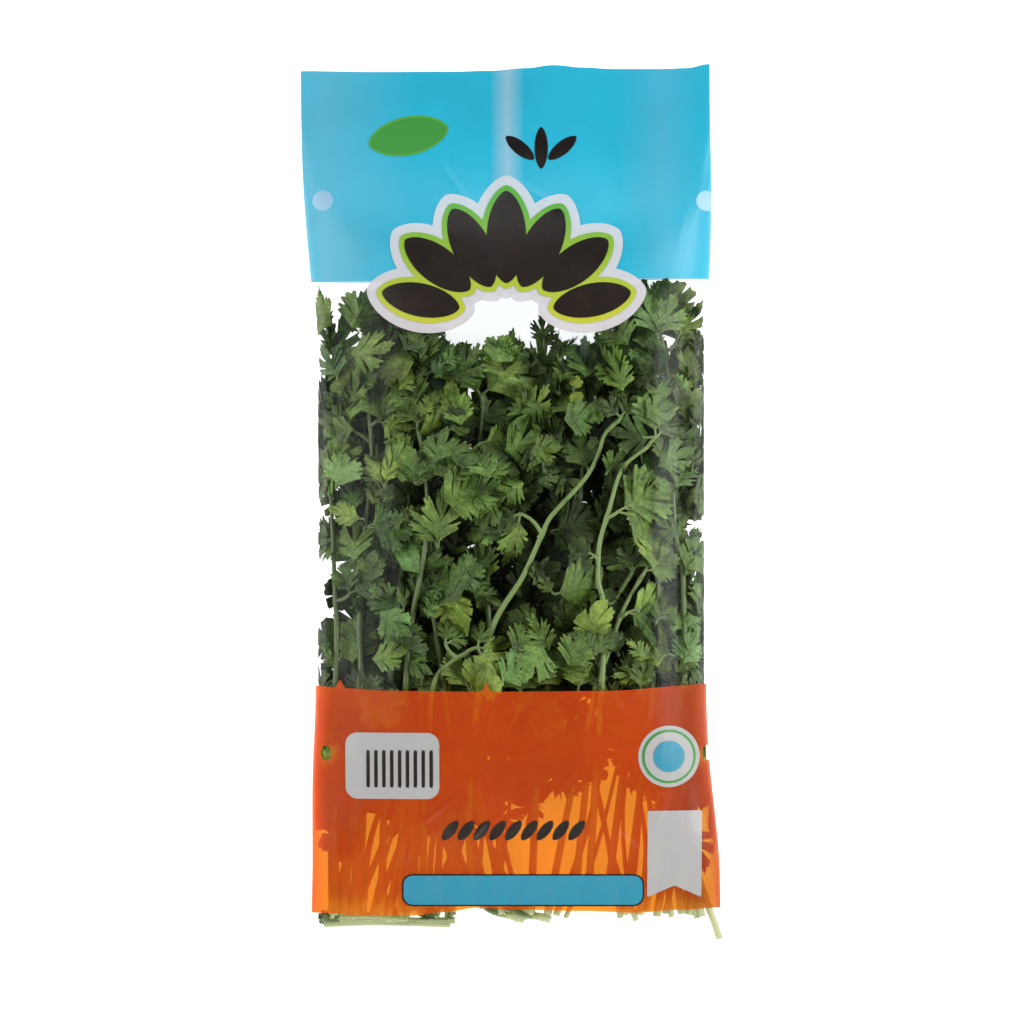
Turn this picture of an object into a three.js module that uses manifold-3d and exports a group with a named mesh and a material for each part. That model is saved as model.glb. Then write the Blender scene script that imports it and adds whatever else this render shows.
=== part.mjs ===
// A bunch of cut coriander in a printed film sleeve, lying on its back.
// Millimetres. +X across the sleeve, +Y from the cut stem ends to the header, +Z up from the surface that it
// lies on. The origin is under the middle of the whole, on that surface.
//
// The sleeve is one web of film folded into a tube, lap sealed down the middle of its back and welded across
// both ends. Four vent holes are punched beside its folds, and one stem has pushed out through its lower
// corner. Inside lie the stems, each with its own compound leaves, stacked in layers between the films.
import * as THREE from "three";
import { mergeVertices } from "three/addons/utils/BufferGeometryUtils.js";
import Module from "manifold-3d";

const wasm = await Module();
wasm.setup();

// ---- driving dimensions ---------------------------------------------------------------------------------

const SLEEVE_TOP = 144; // upper welded edge, along the middle
const SLEEVE_BOTTOM = -141; // lower welded edge
const FLAT_WIDTH = 135.6; // of the empty sleeve, fold to fold
const PULLED_IN = 3.2; // how far each fold is drawn in where the sleeve is fullest
const FILM = 0.4; // wall, thicker than the real 0.04 so that it is a solid
const WELD_HEIGHT = 0.9; // two walls and the line between them
const STEM_SWELL = 4.8; // how far the stems part the film right above the lower weld
const LEAF_SWELL = 26; // what the leaves add to that
const TOP_SLOPE = 0.016; // the upper edge isn't quite square to the folds
const TOP_LEAN = -1.9; // the header leans left of the middle
const BOTTOM_LEAN = 1.7; // and the lower end leans right
const SEAM_WIDTH = 8; // the lap seal down the back
const SEAM_RISE = 0.3;
const VENT_SIZES = { header: [3.4, 3.4], foot: [1.7, 2.5] }; // half widths and heights
const CLEARANCE = 0.35; // between pieces that touch

const LAYERS = 9; // levels of leaves between the back film, 0, and the front film, 8
const BLADE = 0.6; // thickness of a leaf
const STEM_SIDES = 6;
const STEM_STEPS = 10;
const FOOT_RADIUS = 1.35; // of a stem at its cut end
const TIP_RADIUS = 0.6;
const FOOT_Y = -137; // where the stems are cut

// ---- small helpers --------------------------------------------------------------------------------------

const { clamp, degToRad, lerp, smoothstep } = THREE.MathUtils;

// A closed solid through rings of equal count, each a list of Vector3 that turns the same way. The ends are
// fans.
function loft(rings) {
  const around = rings[0].length;
  const vertices = rings.flat();
  const faces = [];
  for (let i = 0; i + 1 < rings.length; i++)
    for (let j = 0; j < around; j++) {
      const a = i * around + j;
      const b = i * around + ((j + 1) % around);
      faces.push(a, b, b + around, a, b + around, a + around);
    }
  const last = vertices.length - around;
  for (let j = 1; j + 1 < around; j++) faces.push(0, j + 1, j, last, last + j, last + j + 1);
  return new THREE.BufferGeometry().setFromPoints(vertices).setIndex(faces);
}

// A geometry as a manifold-3d solid, and back.
function solidOf(geometry) {
  const bare = new THREE.BufferGeometry().setAttribute("position", geometry.getAttribute("position"));
  bare.setIndex(geometry.index);
  const merged = mergeVertices(bare, 1e-4);
  return new wasm.Manifold(
    new wasm.Mesh({
      numProp: 3,
      vertProperties: new Float32Array(merged.attributes.position.array),
      triVerts: new Uint32Array(merged.index.array),
    }),
  );
}

function geometryOf(solid) {
  const mesh = solid.getMesh();
  const geometry = new THREE.BufferGeometry();
  geometry.setAttribute("position", new THREE.BufferAttribute(mesh.vertProperties, 3));
  geometry.setIndex(new THREE.BufferAttribute(mesh.triVerts, 1));
  return geometry;
}

// ---- the shape that the filled sleeve takes -------------------------------------------------------------

// Its height above the surface along the middle: flat welds, a quick rise over the cut ends, and the leaves.
function heightAt(y) {
  const rise = smoothstep(y, SLEEVE_BOTTOM + 0.5, SLEEVE_BOTTOM + 4.5);
  const stems = STEM_SWELL * rise * (1 - smoothstep(y, 84, 134));
  const leaves = LEAF_SWELL * smoothstep(y, -139, -62) ** 0.8 * (1 - smoothstep(y, 46, 126));
  return WELD_HEIGHT + stems + leaves;
}

// The folds come in where the sleeve is full, because the film doesn't stretch.
function halfWidthAt(y) {
  const fullness = (heightAt(y) - WELD_HEIGHT) / (STEM_SWELL + LEAF_SWELL);
  return FLAT_WIDTH / 2 - PULLED_IN * fullness ** 2;
}

function middleAt(y) {
  return TOP_LEAN * smoothstep(y, 50, 140) + BOTTOM_LEAN * (1 - smoothstep(y, -125, -80));
}

// How high the folds stand off the surface.
function foldHeightAt(y) {
  return WELD_HEIGHT / 2 + 0.27 * (heightAt(y) - WELD_HEIGHT);
}

// Front and back film at a point: a dome that is boxier towards the ends, over a back that lies flat in the
// middle and curls up to the folds.
function frontAt(x, y) {
  const across = clamp(Math.abs(x - middleAt(y)) / halfWidthAt(y), 0, 1);
  const full = smoothstep(heightAt(y), 5, 24);
  const dome = (1 - across ** lerp(9, 2.5, full)) ** lerp(0.5, 0.58, full);
  return foldHeightAt(y) + (heightAt(y) - foldHeightAt(y)) * dome;
}

function backAt(x, y) {
  const across = clamp(Math.abs(x - middleAt(y)) / halfWidthAt(y), 0, 1);
  return foldHeightAt(y) * Math.max(0, (across - 0.55) / 0.45) ** 2.2;
}

// The height of a layer: the layers share the room between the films evenly.
function layerHeight(x, y, layer, half = BLADE / 2) {
  const low = backAt(x, y) + FILM + CLEARANCE + half;
  const high = frontAt(x, y) - FILM - CLEARANCE - half;
  return lerp(low, high, clamp((layer + 0.35) / (LAYERS - 0.3), 0, 1));
}

// ---- the sleeve -----------------------------------------------------------------------------------------

const ACROSS = 16; // strips from fold to fold
const STATIONS = [
  -141, -139.4, -138.4, -136.6, -134, -128, -118, -107, -95, -80, -64, -40, 0, 40, 56, 68, 80, 92, 104, 116, 127,
  137, 144,
];

// A ring round the sleeve at y: over the front from left to right, then back underneath. inset takes it inside.
function sleeveRing(y, inset) {
  const slope = TOP_SLOPE * smoothstep(y, 100, 140);
  const room = (heightAt(y) - foldHeightAt(y)) / (2 * inset + 0.3);
  const reach = inset ? Math.min(1 - (2 * inset) / halfWidthAt(y), (1 - room ** -1.9) ** 0.42) : 1;
  const places = Array.from({ length: ACROSS + 1 }, (_, i) => -Math.cos((Math.PI * i) / ACROSS) * reach);
  const at = (across, surface, shift) => {
    const x = middleAt(y) + across * halfWidthAt(y);
    return new THREE.Vector3(x, y + slope * x, surface(x, y) + shift);
  };
  const front = places.map((across) => at(across, frontAt, -inset));
  const back = places.reverse().map((across) => at(across, backAt, inset));
  return inset ? [...front, ...back] : [...front, ...back.slice(1, -1)];
}

// A vent hole is punched through both walls beside a fold. The foot's two are drawn narrow by the film.
function vent(x, y, [halfWidth, halfHeight]) {
  const punch = new THREE.CylinderGeometry(1, 1, 60, 14).rotateX(Math.PI / 2);
  punch.scale(halfWidth, halfHeight, 1).translate(x, y, 10);
  return solidOf(punch);
}

const VENTS = [
  [-62.2, 99.3, VENT_SIZES.header],
  [64.6, 99.3, VENT_SIZES.header],
  [-61, -83, VENT_SIZES.foot],
  [64.9, -83, VENT_SIZES.foot],
];

function sleeveGeometry(tear) {
  const outer = solidOf(loft(STATIONS.map((y) => sleeveRing(y, 0))));
  const hollow = STATIONS.filter((y) => heightAt(y) > WELD_HEIGHT + 1.1);
  const inner = solidOf(loft(hollow.map((y) => sleeveRing(y, FILM))));
  let film = outer.subtract(inner);
  for (const [x, y, size] of VENTS) film = film.subtract(vent(x, y, size));
  return geometryOf(film.subtract(tear));
}

// The lap seal: a narrow second thickness of film along the inside of the back.
function seamGeometry() {
  const ends = [-134, 113];
  const seam = new THREE.BoxGeometry(SEAM_WIDTH, ends[1] - ends[0], SEAM_RISE);
  return seam.translate(0, (ends[0] + ends[1]) / 2, FILM + 0.12 + SEAM_RISE / 2);
}

// ---- stems ----------------------------------------------------------------------------------------------

// A stem follows points [x, y] at the height of its own layer, and tapers from its cut end to its tip.
function stemPath(sprig) {
  const plan = [[sprig.foot, FOOT_Y], ...sprig.way].map(([x, y]) => new THREE.Vector3(x, y, 0));
  const places = new THREE.CatmullRomCurve3(plan, false, "centripetal").getSpacedPoints(2 * STEM_STEPS);
  for (const place of places) place.z = layerHeight(place.x, place.y, sprig.layer, FOOT_RADIUS + 0.3);
  return new THREE.CatmullRomCurve3(places, false, "centripetal");
}

// A ring of a round stalk about each point of a path.
function stalkRings(path, steps, radiusAt, sides) {
  const { normals, binormals } = path.computeFrenetFrames(steps, false);
  return Array.from({ length: steps + 1 }, (_, i) => {
    const centre = path.getPointAt(i / steps);
    const radius = radiusAt(i / steps);
    return Array.from({ length: sides }, (_, j) => {
      const turn = (2 * Math.PI * j) / sides;
      return centre
        .clone()
        .addScaledVector(normals[i], radius * Math.cos(turn))
        .addScaledVector(binormals[i], radius * Math.sin(turn));
    });
  });
}

const stemGeometry = (path, swell = 0) =>
  loft(stalkRings(path, STEM_STEPS, (t) => lerp(FOOT_RADIUS, TIP_RADIUS, t) + swell, STEM_SIDES));

// ---- leaves ---------------------------------------------------------------------------------------------

// One leaflet's edge, as [angle from its midrib in degrees, share of its length]: three lobes and two clefts.
const LEAFLET = [
  [-56, 0.5],
  [-50, 0.86],
  [-30, 0.88],
  [-23, 0.55],
  [-13, 0.97],
  [13, 0.97],
  [23, 0.55],
  [30, 0.88],
  [50, 0.86],
  [56, 0.5],
];
const LEAFLET_STALK = 0.3; // share of its reach from the joint
const STALK_HALF = 0.55; // half the width of a stalk

const heading = (degrees) => new THREE.Vector2(Math.sin(degToRad(degrees)), Math.cos(degToRad(degrees)));

// The edge of a compound leaf: leaflets [heading, reach] fan out from a joint, and its stalk runs back to a
// root on the stem. Headings are clockwise from +Y, and the leaflets are taken in turn from one side of the stalk to
// the other. Neighbours are narrowed so that they stay clear of each other.
function leafOutline(joint, root, leaflets) {
  const back = root.clone().sub(joint).normalize();
  const backHeading = THREE.MathUtils.radToDeg(Math.atan2(back.x, back.y));
  const turned = ([angle]) => THREE.MathUtils.euclideanModulo(angle - backHeading, 360);
  const fan = [...leaflets].sort((one, other) => turned(other) - turned(one));
  const flank = new THREE.Vector2(back.y, -back.x).multiplyScalar(STALK_HALF);
  const edge = [root.clone().add(flank), root.clone().sub(flank)];
  // The crotch between two stalks that leave the joint.
  const crotch = (one, other) => {
    const between = one.clone().add(other).normalize();
    return joint.clone().addScaledVector(between, STALK_HALF / Math.max(0.3, Math.abs(one.cross(between))));
  };
  let last = back;
  fan.forEach((leaflet, i) => {
    const [angle, reach] = leaflet;
    const beside = [fan[i - 1], fan[i + 1]].filter(Boolean);
    const gaps = beside.map((next) => Math.abs(turned(next) - turned(leaflet)));
    const spread = Math.min(1, (0.72 * Math.min(110, ...gaps)) / 56);
    const out = heading(angle);
    const side = new THREE.Vector2(out.y, -out.x).multiplyScalar(STALK_HALF * 0.8);
    const start = joint.clone().addScaledVector(out, LEAFLET_STALK * reach);
    const blade = (1 - LEAFLET_STALK) * reach;
    const tips = LEAFLET.map(([turn, share]) =>
      start.clone().addScaledVector(heading(angle - turn * spread), share * blade),
    );
    edge.push(crotch(out, last), start.clone().add(side), ...tips, start.clone().sub(side));
    last = out;
  });
  edge.push(crotch(back, last));
  return edge;
}

// The leaf is a thin plate that lies in its layer.
function leafGeometry(outline, layer) {
  const plate = new THREE.ExtrudeGeometry(new THREE.Shape(outline), { depth: BLADE, bevelEnabled: false });
  const place = plate.getAttribute("position");
  for (let i = 0; i < place.count; i++) {
    const height = layerHeight(place.getX(i), place.getY(i), layer);
    place.setZ(i, height + place.getZ(i) - BLADE / 2);
  }
  plate.deleteAttribute("normal");
  plate.deleteAttribute("uv");
  return plate;
}

// ---- the sprigs -----------------------------------------------------------------------------------------

// foot: where the stem is cut, in X. way: the points [x, y] that it passes, the last being its tip.
// leaves: [x and y of the joint, its leaflets as [heading, reach]].
const SPRIGS = [
  { layer: 8, foot: 25.5, way: [[27.5, -98.5], [29.5, -65.5], [30.5, -36.5], [28.5, -25.5], [29, -14],
      [32, -3.5], [36.5, 10.5], [45, 18]],
    leaves: [[27.5, -18, [[-62, 8], [-118, 6]]], [35, -3.5, [[60, 16.5], [103, 18.5]]],
      [47.5, 21, [[-4, 16.5], [-90, 14], [48, 10]]]] },
  { layer: 7, foot: -12.5, way: [[-14, -98.5], [-10, -59], [-5.5, -40], [4, -24.5], [10.5, -10], [13.5, -4.5],
      [24, 7], [28.5, 15], [30.5, 21.5], [34, 25.5]],
    leaves: [[3, -4, [[190, 14], [-115, 8]]], [36, 27.5, [[34, 8], [-48, 8]]]] },
  { layer: 8, foot: -30, way: [[-27.5, -85.5], [-25.5, -60.5], [-20, -53], [-14, -49.5]],
    leaves: [[-21.5, -47, [[60, 8], [4, 8]]], [-11, -48, [[98, 9], [152, 14.5], [15, 8]]]] },
  { layer: 7, foot: -36.5, way: [[-35.5, -85.5], [-33.5, -46], [-28, -13], [-28, 9.5], [-30.5, 23.5]],
    leaves: [[-31.5, 16, [[-62, 8], [-118, 7.5]]], [-21, 23, [[8, 14], [62, 7.5]]],
      [-10, 19, [[80, 11], [128, 9]]], [-30.5, 25.5, [[46, 9], [-42, 8.5], [4, 10]]]] },
  { layer: 6, foot: -19.5, way: [[-19.5, -85.5], [-24.5, -45], [-26.5, -35], [-29.5, -25.5], [-32, -22]],
    leaves: [[-20, -28.5, [[180, 10], [-134, 7], [62, 14]]], [-32, -19.5, [[-8, 17], [-62, 10.5]]]] },
  { layer: 6, foot: -51.5, way: [[-51.5, -85.5], [-49.5, -55], [-50, -41.5], [-48.5, -19.5], [-48, -9.5],
      [-46, 10], [-46, 20], [-47.5, 36.5]],
    leaves: [[-51, -6.5, [[-82, 6], [-30, 9]]], [-44, 26.5, [[62, 12], [108, 10.5]]],
      [-53, 23.5, [[-14, 14], [-62, 8.5]]], [-48, 39.5, [[31, 12], [-68, 9]]]] },
  { layer: 7, foot: -58, way: [[-58.5, -85.5], [-57.5, -46], [-58.5, -19.5], [-59.5, 3.5]],
    leaves: [[-53, -30.5, [[-12, 8.5], [60, 10.5]]], [-61, 6.5, [[24, 14.5], [62, 10.5]]]] },
  { layer: 6, foot: 21, way: [[25.5, -85.5], [30, -38], [33.5, -33.5], [39, -25]],
    leaves: [[40, -23, [[-45, 11], [42, 12], [-4, 8]]]] },
  { layer: 7, foot: 12, way: [[19.5, -98.5], [28.5, -59.5], [32, -49.5], [36.5, -36.5], [42.5, -25.5]],
    leaves: [[26.5, -49, [[-4, 14.5], [-52, 8.5]]], [38.5, -36.5, [[72, 12], [112, 8.5]]],
      [44, -23, [[30, 12], [76, 11]]]] },
  { layer: 7, foot: 42.5, way: [[49, -98.5], [57, -59.5], [57, -39.5], [56.5, -24], [54, -9.5], [53, 10],
      [52, 30]],
    leaves: [[54, -51, [[-72, 15], [-122, 8]]], [59.5, -17, [[0, 7.5], [60, 3]]],
      [52, 32.5, [[12, 15], [-35, 10]]]] },
  { layer: 5, foot: 37.5, way: [[42.5, -98.5], [46, -65.5], [48, -32.5], [50, 0.5], [52, 33.5], [50.5, 48],
      [48.5, 58]],
    leaves: [[53.5, 51, [[26, 14], [84, 8]]], [47.5, 51, [[-100, 13], [-62, 10.5]]],
      [48, 60.5, [[-70, 12.5], [-22, 12], [28, 12]]]] },
  { layer: 5, foot: -3.5, way: [[-4.5, -85.5], [-7, -46], [-8.5, -13], [-10, 17], [-9.5, 32]],
    leaves: [[-4.5, 1, [[12, 10], [76, 11]]], [3.5, 26.5, [[45, 12], [82, 10]]],
      [-5.5, 16, [[110, 11], [60, 10]]], [-10, 34.5, [[48, 21], [-27, 14]]]] },
  { layer: 5, foot: -43, way: [[-41.5, -85.5], [-38.5, -46], [-35, -13], [-32.5, 17], [-30, 38.5]],
    leaves: [[-38.5, -19.5, [[-72, 12.5], [-20, 12]]], [-39, 53, [[-50, 11], [-95, 9]]],
      [-29.5, 41.5, [[12, 15], [-10, 14], [60, 12]]]] },
  { layer: 4, foot: 6.5, way: [[9, -85.5], [14.5, -46], [21, -13], [23.5, 11], [23, 25.5]],
    leaves: [[15, 6, [[-14, 13], [-60, 12]]], [28, -6.5, [[78, 13], [40, 10.5]]],
      [23, 27.5, [[-30, 12], [25, 11], [-78, 10]]]] },
  { layer: 3, foot: 31.5, way: [[37.5, -85.5], [42.5, -46], [46, -13], [42.5, 20], [36.5, 44.5]],
    leaves: [[39.5, -39.5, [[-60, 13], [-110, 11]]], [50, 0.5, [[40, 12.5], [100, 10.5]]],
      [36, 47, [[-30, 12.5], [30, 12], [-86, 11]]]] },
];

// The stem that has pushed out through the lower right corner of the sleeve.
const STRAY = [
  [52, -96, 4.5],
  [60.5, -120, 3.4],
  [65, -133, 3],
  [67.2, -139, 2.9],
  [69.1, -144.9, 2.8],
];

const FILM_COLOUR = { color: 0xe8f1f2, roughness: 0.2, metalness: 0, transparent: true, opacity: 0.35 };
const STEM_COLOUR = { color: 0x7d9a4b, roughness: 0.55, metalness: 0 };
const LEAF_COLOUR = { color: 0x4a7233, roughness: 0.6, metalness: 0 };

function piece(name, geometry, finish) {
  const mesh = new THREE.Mesh(geometry, new THREE.MeshStandardMaterial(finish));
  mesh.name = name;
  return mesh;
}

const number = (n) => String(n + 1).padStart(2, "0");

// Where a stem is at height y.
function stemAt(path, y) {
  let [low, high] = [0, 1];
  for (let i = 0; i < 24; i++) {
    const middle = (low + high) / 2;
    if (path.getPointAt(middle).y < y) low = middle;
    else high = middle;
  }
  return path.getPointAt(low);
}

// Where a leaf's stalk leaves its stem: a little below the joint, or at the stem's tip.
function leafRoot(path, joint) {
  const end = path.getPointAt(1);
  const level = stemAt(path, Math.min(joint.y, end.y));
  const stem = stemAt(path, joint.y - 0.6 * Math.abs(joint.x - level.x));
  if (joint.y - 0.6 * Math.abs(joint.x - level.x) > end.y - 1) {
    const tip = new THREE.Vector2(end.x, end.y);
    return tip.add(joint.clone().sub(tip).setLength(TIP_RADIUS + 2 * CLEARANCE));
  }
  return new THREE.Vector2(stem.x + Math.sign(joint.x - stem.x) * (FOOT_RADIUS + CLEARANCE + 0.3), stem.y);
}

function sprigPieces(sprig, index) {
  const path = stemPath(sprig);
  const group = new THREE.Group();
  group.add(piece("stem_" + number(index), stemGeometry(path), STEM_COLOUR));
  sprig.leaves.forEach(([x, y, leaflets], i) => {
    const joint = new THREE.Vector2(x, y);
    const outline = leafOutline(joint, leafRoot(path, joint), leaflets);
    const name = "leaf_" + number(index) + "_" + "abcd"[i];
    group.add(piece(name, leafGeometry(outline, sprig.layer), LEAF_COLOUR));
  });
  return group;
}

// ---- putting it together --------------------------------------------------------------------------------

const bunch = new THREE.Group();
bunch.name = "coriander_bunch";

const strayPath = new THREE.CatmullRomCurve3(STRAY.map((p) => new THREE.Vector3(...p)), false, "centripetal");
const tear = solidOf(stemGeometry(strayPath, CLEARANCE + 0.2));
bunch.add(piece("film_sleeve", sleeveGeometry(tear), FILM_COLOUR));
bunch.add(piece("back_seam", seamGeometry(), FILM_COLOUR));
bunch.add(piece("stem_stray", stemGeometry(strayPath), STEM_COLOUR));
SPRIGS.forEach((sprig, index) => bunch.add(sprigPieces(sprig, index)));

export default bunch;
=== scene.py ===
import bpy
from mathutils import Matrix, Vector
import numpy as np


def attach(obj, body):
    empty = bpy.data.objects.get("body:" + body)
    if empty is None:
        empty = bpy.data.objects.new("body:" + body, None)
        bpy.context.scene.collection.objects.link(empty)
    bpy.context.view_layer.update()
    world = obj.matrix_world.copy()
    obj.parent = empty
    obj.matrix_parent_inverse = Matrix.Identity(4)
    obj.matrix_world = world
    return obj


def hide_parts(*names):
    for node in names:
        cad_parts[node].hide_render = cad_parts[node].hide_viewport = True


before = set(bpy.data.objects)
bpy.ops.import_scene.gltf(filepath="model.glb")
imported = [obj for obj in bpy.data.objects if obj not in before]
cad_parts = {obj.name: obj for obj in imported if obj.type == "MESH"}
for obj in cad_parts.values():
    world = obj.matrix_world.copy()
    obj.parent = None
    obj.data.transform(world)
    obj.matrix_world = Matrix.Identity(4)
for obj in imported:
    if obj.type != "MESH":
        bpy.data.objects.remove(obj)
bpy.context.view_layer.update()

# ---- the filled sleeve ---------------------------------------------------------------------------------
# One web of clear polypropylene, 0.04 mm thick, folded into a tube with two folds at its sides. The leaves
# fill it like a cushion, and it runs out flat to a weld at each end.

MM = 0.001
FLAT_WIDTH = 135.6  # of the empty sleeve, fold to fold
PULLED_IN = 3.2  # how far each fold is drawn in where the sleeve is fullest
WELD_HEIGHT = 0.9
STEM_SWELL = 4.8  # what the stems add to the height
LEAF_SWELL = 26.0  # what the leaves add to it
CLEARANCE = 0.75  # between the outside of the film and what lies against it
FOLD_CLEARANCE = 0.8  # the same at the side folds
TOP_LEVEL = 8  # the leaves lie in levels, from 0 at the back film to this at the front film
LEVEL_MARGIN = 0.35  # the outer levels stay clear of the films by this share of a level


def smooth(value, start, end):
    """0 before start and 1 after end, and 3t² - 2t³ between them."""
    t = np.clip((value - start) / (end - start), 0, 1)
    return t * t * (3 - 2 * t)


def height_at(y):
    """Height of the sleeve along its middle: the flat weld, plus a quick rise over the stems, plus a long
    swell over the leaves."""
    stems = STEM_SWELL * smooth(y, -141, -138) * (1 - smooth(y, 84, 134))
    return WELD_HEIGHT + stems + LEAF_SWELL * smooth(y, -139, -62) ** 0.8 * (1 - smooth(y, 46, 126))


def half_width_at(y):
    """Half the flat width, less a part that grows with the square of the fullness."""
    return FLAT_WIDTH / 2 - PULLED_IN * ((height_at(y) - WELD_HEIGHT) / (STEM_SWELL + LEAF_SWELL)) ** 2


def middle_at(y):
    """Where the middle line lies: it leans left at the header and right at the foot."""
    return -1.9 * smooth(y, 50, 140) + 1.7 * (1 - smooth(y, -125, -80))


def fold_height_at(y):
    """The side folds stand a little over a quarter of the way up."""
    return WELD_HEIGHT / 2 + 0.27 * (height_at(y) - WELD_HEIGHT)


def front_at(x, y):
    """Front film: fold height + (height - fold height) · (1 - across^p)^q, boxier towards the ends."""
    across = np.clip(np.abs(x - middle_at(y)) / half_width_at(y), 0, 1)
    full = smooth(height_at(y), 5, 24)
    dome = (1 - across ** (9 - 6.5 * full)) ** (0.5 + 0.08 * full)
    return fold_height_at(y) + (height_at(y) - fold_height_at(y)) * dome


def back_at(x, y):
    """Back film: flat on the floor in the middle, and curled up to the folds."""
    across = np.clip(np.abs(x - middle_at(y)) / half_width_at(y), 0, 1)
    return fold_height_at(y) * np.maximum(0, (across - 0.55) / 0.45) ** 2.2


def room_at(x, y, half):
    """Lowest and highest height that a thing of that half thickness may take between the films."""
    return back_at(x, y) + CLEARANCE + half, front_at(x, y) - CLEARANCE - half


def layer_height(x, y, layer, half=0.3):
    """Height of a level of leaves: the levels share the room between the films evenly. half is half the
    thickness of what lies there."""
    low, high = room_at(x, y, half)
    share = (layer + LEVEL_MARGIN) / (TOP_LEVEL + 2 * LEVEL_MARGIN)
    return low + np.maximum(high - low, 0) * np.clip(share, 0, 1)


def grid_faces(rows, columns, ring=False):
    """Quads between the points of a grid that is numbered row by row; ring joins each row's ends."""
    i, j = np.meshgrid(np.arange(rows - 1), np.arange(columns if ring else columns - 1), indexing="ij")
    a, b = i * columns + j, i * columns + (j + 1) % columns
    return np.stack([a, b, b + columns, a + columns], -1).reshape(-1, 4)


def make_piece(name, points, faces, materials, nodes=(), uv=None, tint=None, kinds=None):
    """A mesh object from points in millimetres and quads. uv and tint hold one row for each point, and kinds
    one material number for each quad."""
    mesh = bpy.data.meshes.new(name)
    mesh.vertices.add(len(points))
    mesh.vertices.foreach_set("co", (np.asarray(points, float) * MM).ravel())
    mesh.loops.add(faces.size)
    mesh.loops.foreach_set("vertex_index", faces.ravel().astype(np.int32))
    mesh.polygons.add(len(faces))
    mesh.polygons.foreach_set("loop_start", np.arange(0, faces.size, 4, dtype=np.int32))
    if kinds is not None:
        mesh.polygons.foreach_set("material_index", kinds.astype(np.int32))
    mesh.update(calc_edges=True)
    if uv is not None:
        layer = mesh.uv_layers.new(name="surface")
        layer.data.foreach_set("uv", np.asarray(uv, float)[faces.ravel()].ravel())
    if tint is not None:
        shade = mesh.color_attributes.new("tint", "FLOAT_COLOR", "POINT")
        shade.data.foreach_set("color", np.asarray(tint, float).ravel())
    mesh.shade_smooth()
    for material in materials:
        mesh.materials.append(material)
    mesh.validate()
    piece = bpy.data.objects.new(name, mesh)
    bpy.context.scene.collection.objects.link(piece)
    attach(piece, "root")
    if nodes:
        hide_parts(*nodes)


class Recipe:
    """Builds one material's node tree: each call adds a node and returns its output."""

    def __init__(self, name):
        self.material = bpy.data.materials.new(name)
        self.material.use_nodes = True
        self.tree = self.material.node_tree
        self.tree.nodes.clear()

    def put(self, socket, value):
        if isinstance(value, bpy.types.NodeSocket):
            self.tree.links.new(value, socket)
        elif value is not None:
            socket.default_value = value

    def node(self, kind, settings=(), **inputs):
        node = self.tree.nodes.new(kind)
        for key, value in dict(settings).items():
            setattr(node, key, value)
        for key, value in inputs.items():
            self.put(node.inputs[key.replace("_", " ")], value)
        return node

    def coordinates(self, output):
        return self.tree.nodes.new("ShaderNodeTexCoord").outputs[output]

    def split(self, vector):
        return self.node("ShaderNodeSeparateXYZ", Vector=vector).outputs

    def tint(self):
        """The tint attribute's tone and hue."""
        tint = self.node("ShaderNodeAttribute", {"attribute_name": "tint"}).outputs["Color"]
        return self.node("ShaderNodeSeparateColor", Color=tint).outputs[:2]

    def mapping(self, vector, scale):
        return self.node("ShaderNodeMapping", Vector=vector, Scale=scale).outputs[0]

    def noise(self, vector, scale, detail=2.0, roughness=0.5, distortion=0.0):
        node = self.node("ShaderNodeTexNoise", Vector=vector, Scale=scale, Detail=detail,
                         Roughness=roughness, Distortion=distortion)
        return node.outputs["Fac"]

    def math(self, operation, a, b=None):
        node = self.node("ShaderNodeMath", {"operation": operation})
        self.put(node.inputs[0], a)
        self.put(node.inputs[1], b)
        return node.outputs[0]

    def remap(self, value, low, high, to_low=0.0, to_high=1.0):
        """The value with low moved to to_low and high to to_high, and clamped between them."""
        node = self.node("ShaderNodeMapRange", Value=value, From_Min=low, From_Max=high,
                         To_Min=to_low, To_Max=to_high)
        return node.outputs[0]

    def mix(self, factor, a, b, blend="MIX"):
        node = self.node("ShaderNodeMix", {"data_type": "RGBA", "blend_type": blend})
        self.put(node.inputs[0], factor)
        self.put(node.inputs[6], a)
        self.put(node.inputs[7], b)
        return node.outputs[2]

    def ramp(self, factor, *stops):
        node = self.node("ShaderNodeValToRGB", Fac=factor)
        marks = node.color_ramp.elements
        while len(marks) < len(stops):
            marks.new(0.5)
        for mark, (place, colour) in zip(marks, stops):
            mark.position = place
            mark.color = (*colour, 1)
        return node.outputs[0]

    def bump(self, height, strength, distance):
        node = self.node("ShaderNodeBump", Strength=strength, Distance=distance, Height=height)
        return node.outputs[0]

    def principled(self, **inputs):
        return self.node("ShaderNodeBsdfPrincipled", **inputs).outputs[0]

    def see_through(self, colour):
        return self.node("ShaderNodeBsdfTransparent", Color=colour).outputs[0]

    def blend(self, factor, one, other):
        """One shader at factor 0 and the other at factor 1."""
        node = self.node("ShaderNodeMixShader", Fac=factor)
        self.put(node.inputs[1], one)
        self.put(node.inputs[2], other)
        return node.outputs[0]

    def finish(self, shader):
        self.put(self.node("ShaderNodeOutputMaterial").inputs["Surface"], shader)
        return self.material


# ---- stems ---------------------------------------------------------------------------------------------
# Cut coriander stems: juicy, ribbed, pale green tubes about 2.7 mm thick at the cut, thinner and more
# yellow towards the leaves. They lie loose in the sleeve, and each carries its own leaves.

FOOT_Y = -137.0  # where most stems are cut
FOOT_RADIUS = 1.35
TIP_RADIUS = 0.6
FOOT_LEVEL = 2
ROUTE_POINTS = 90  # along a stem
CLOSED = 0.02  # radius of the ring that closes a tube's end

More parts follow.
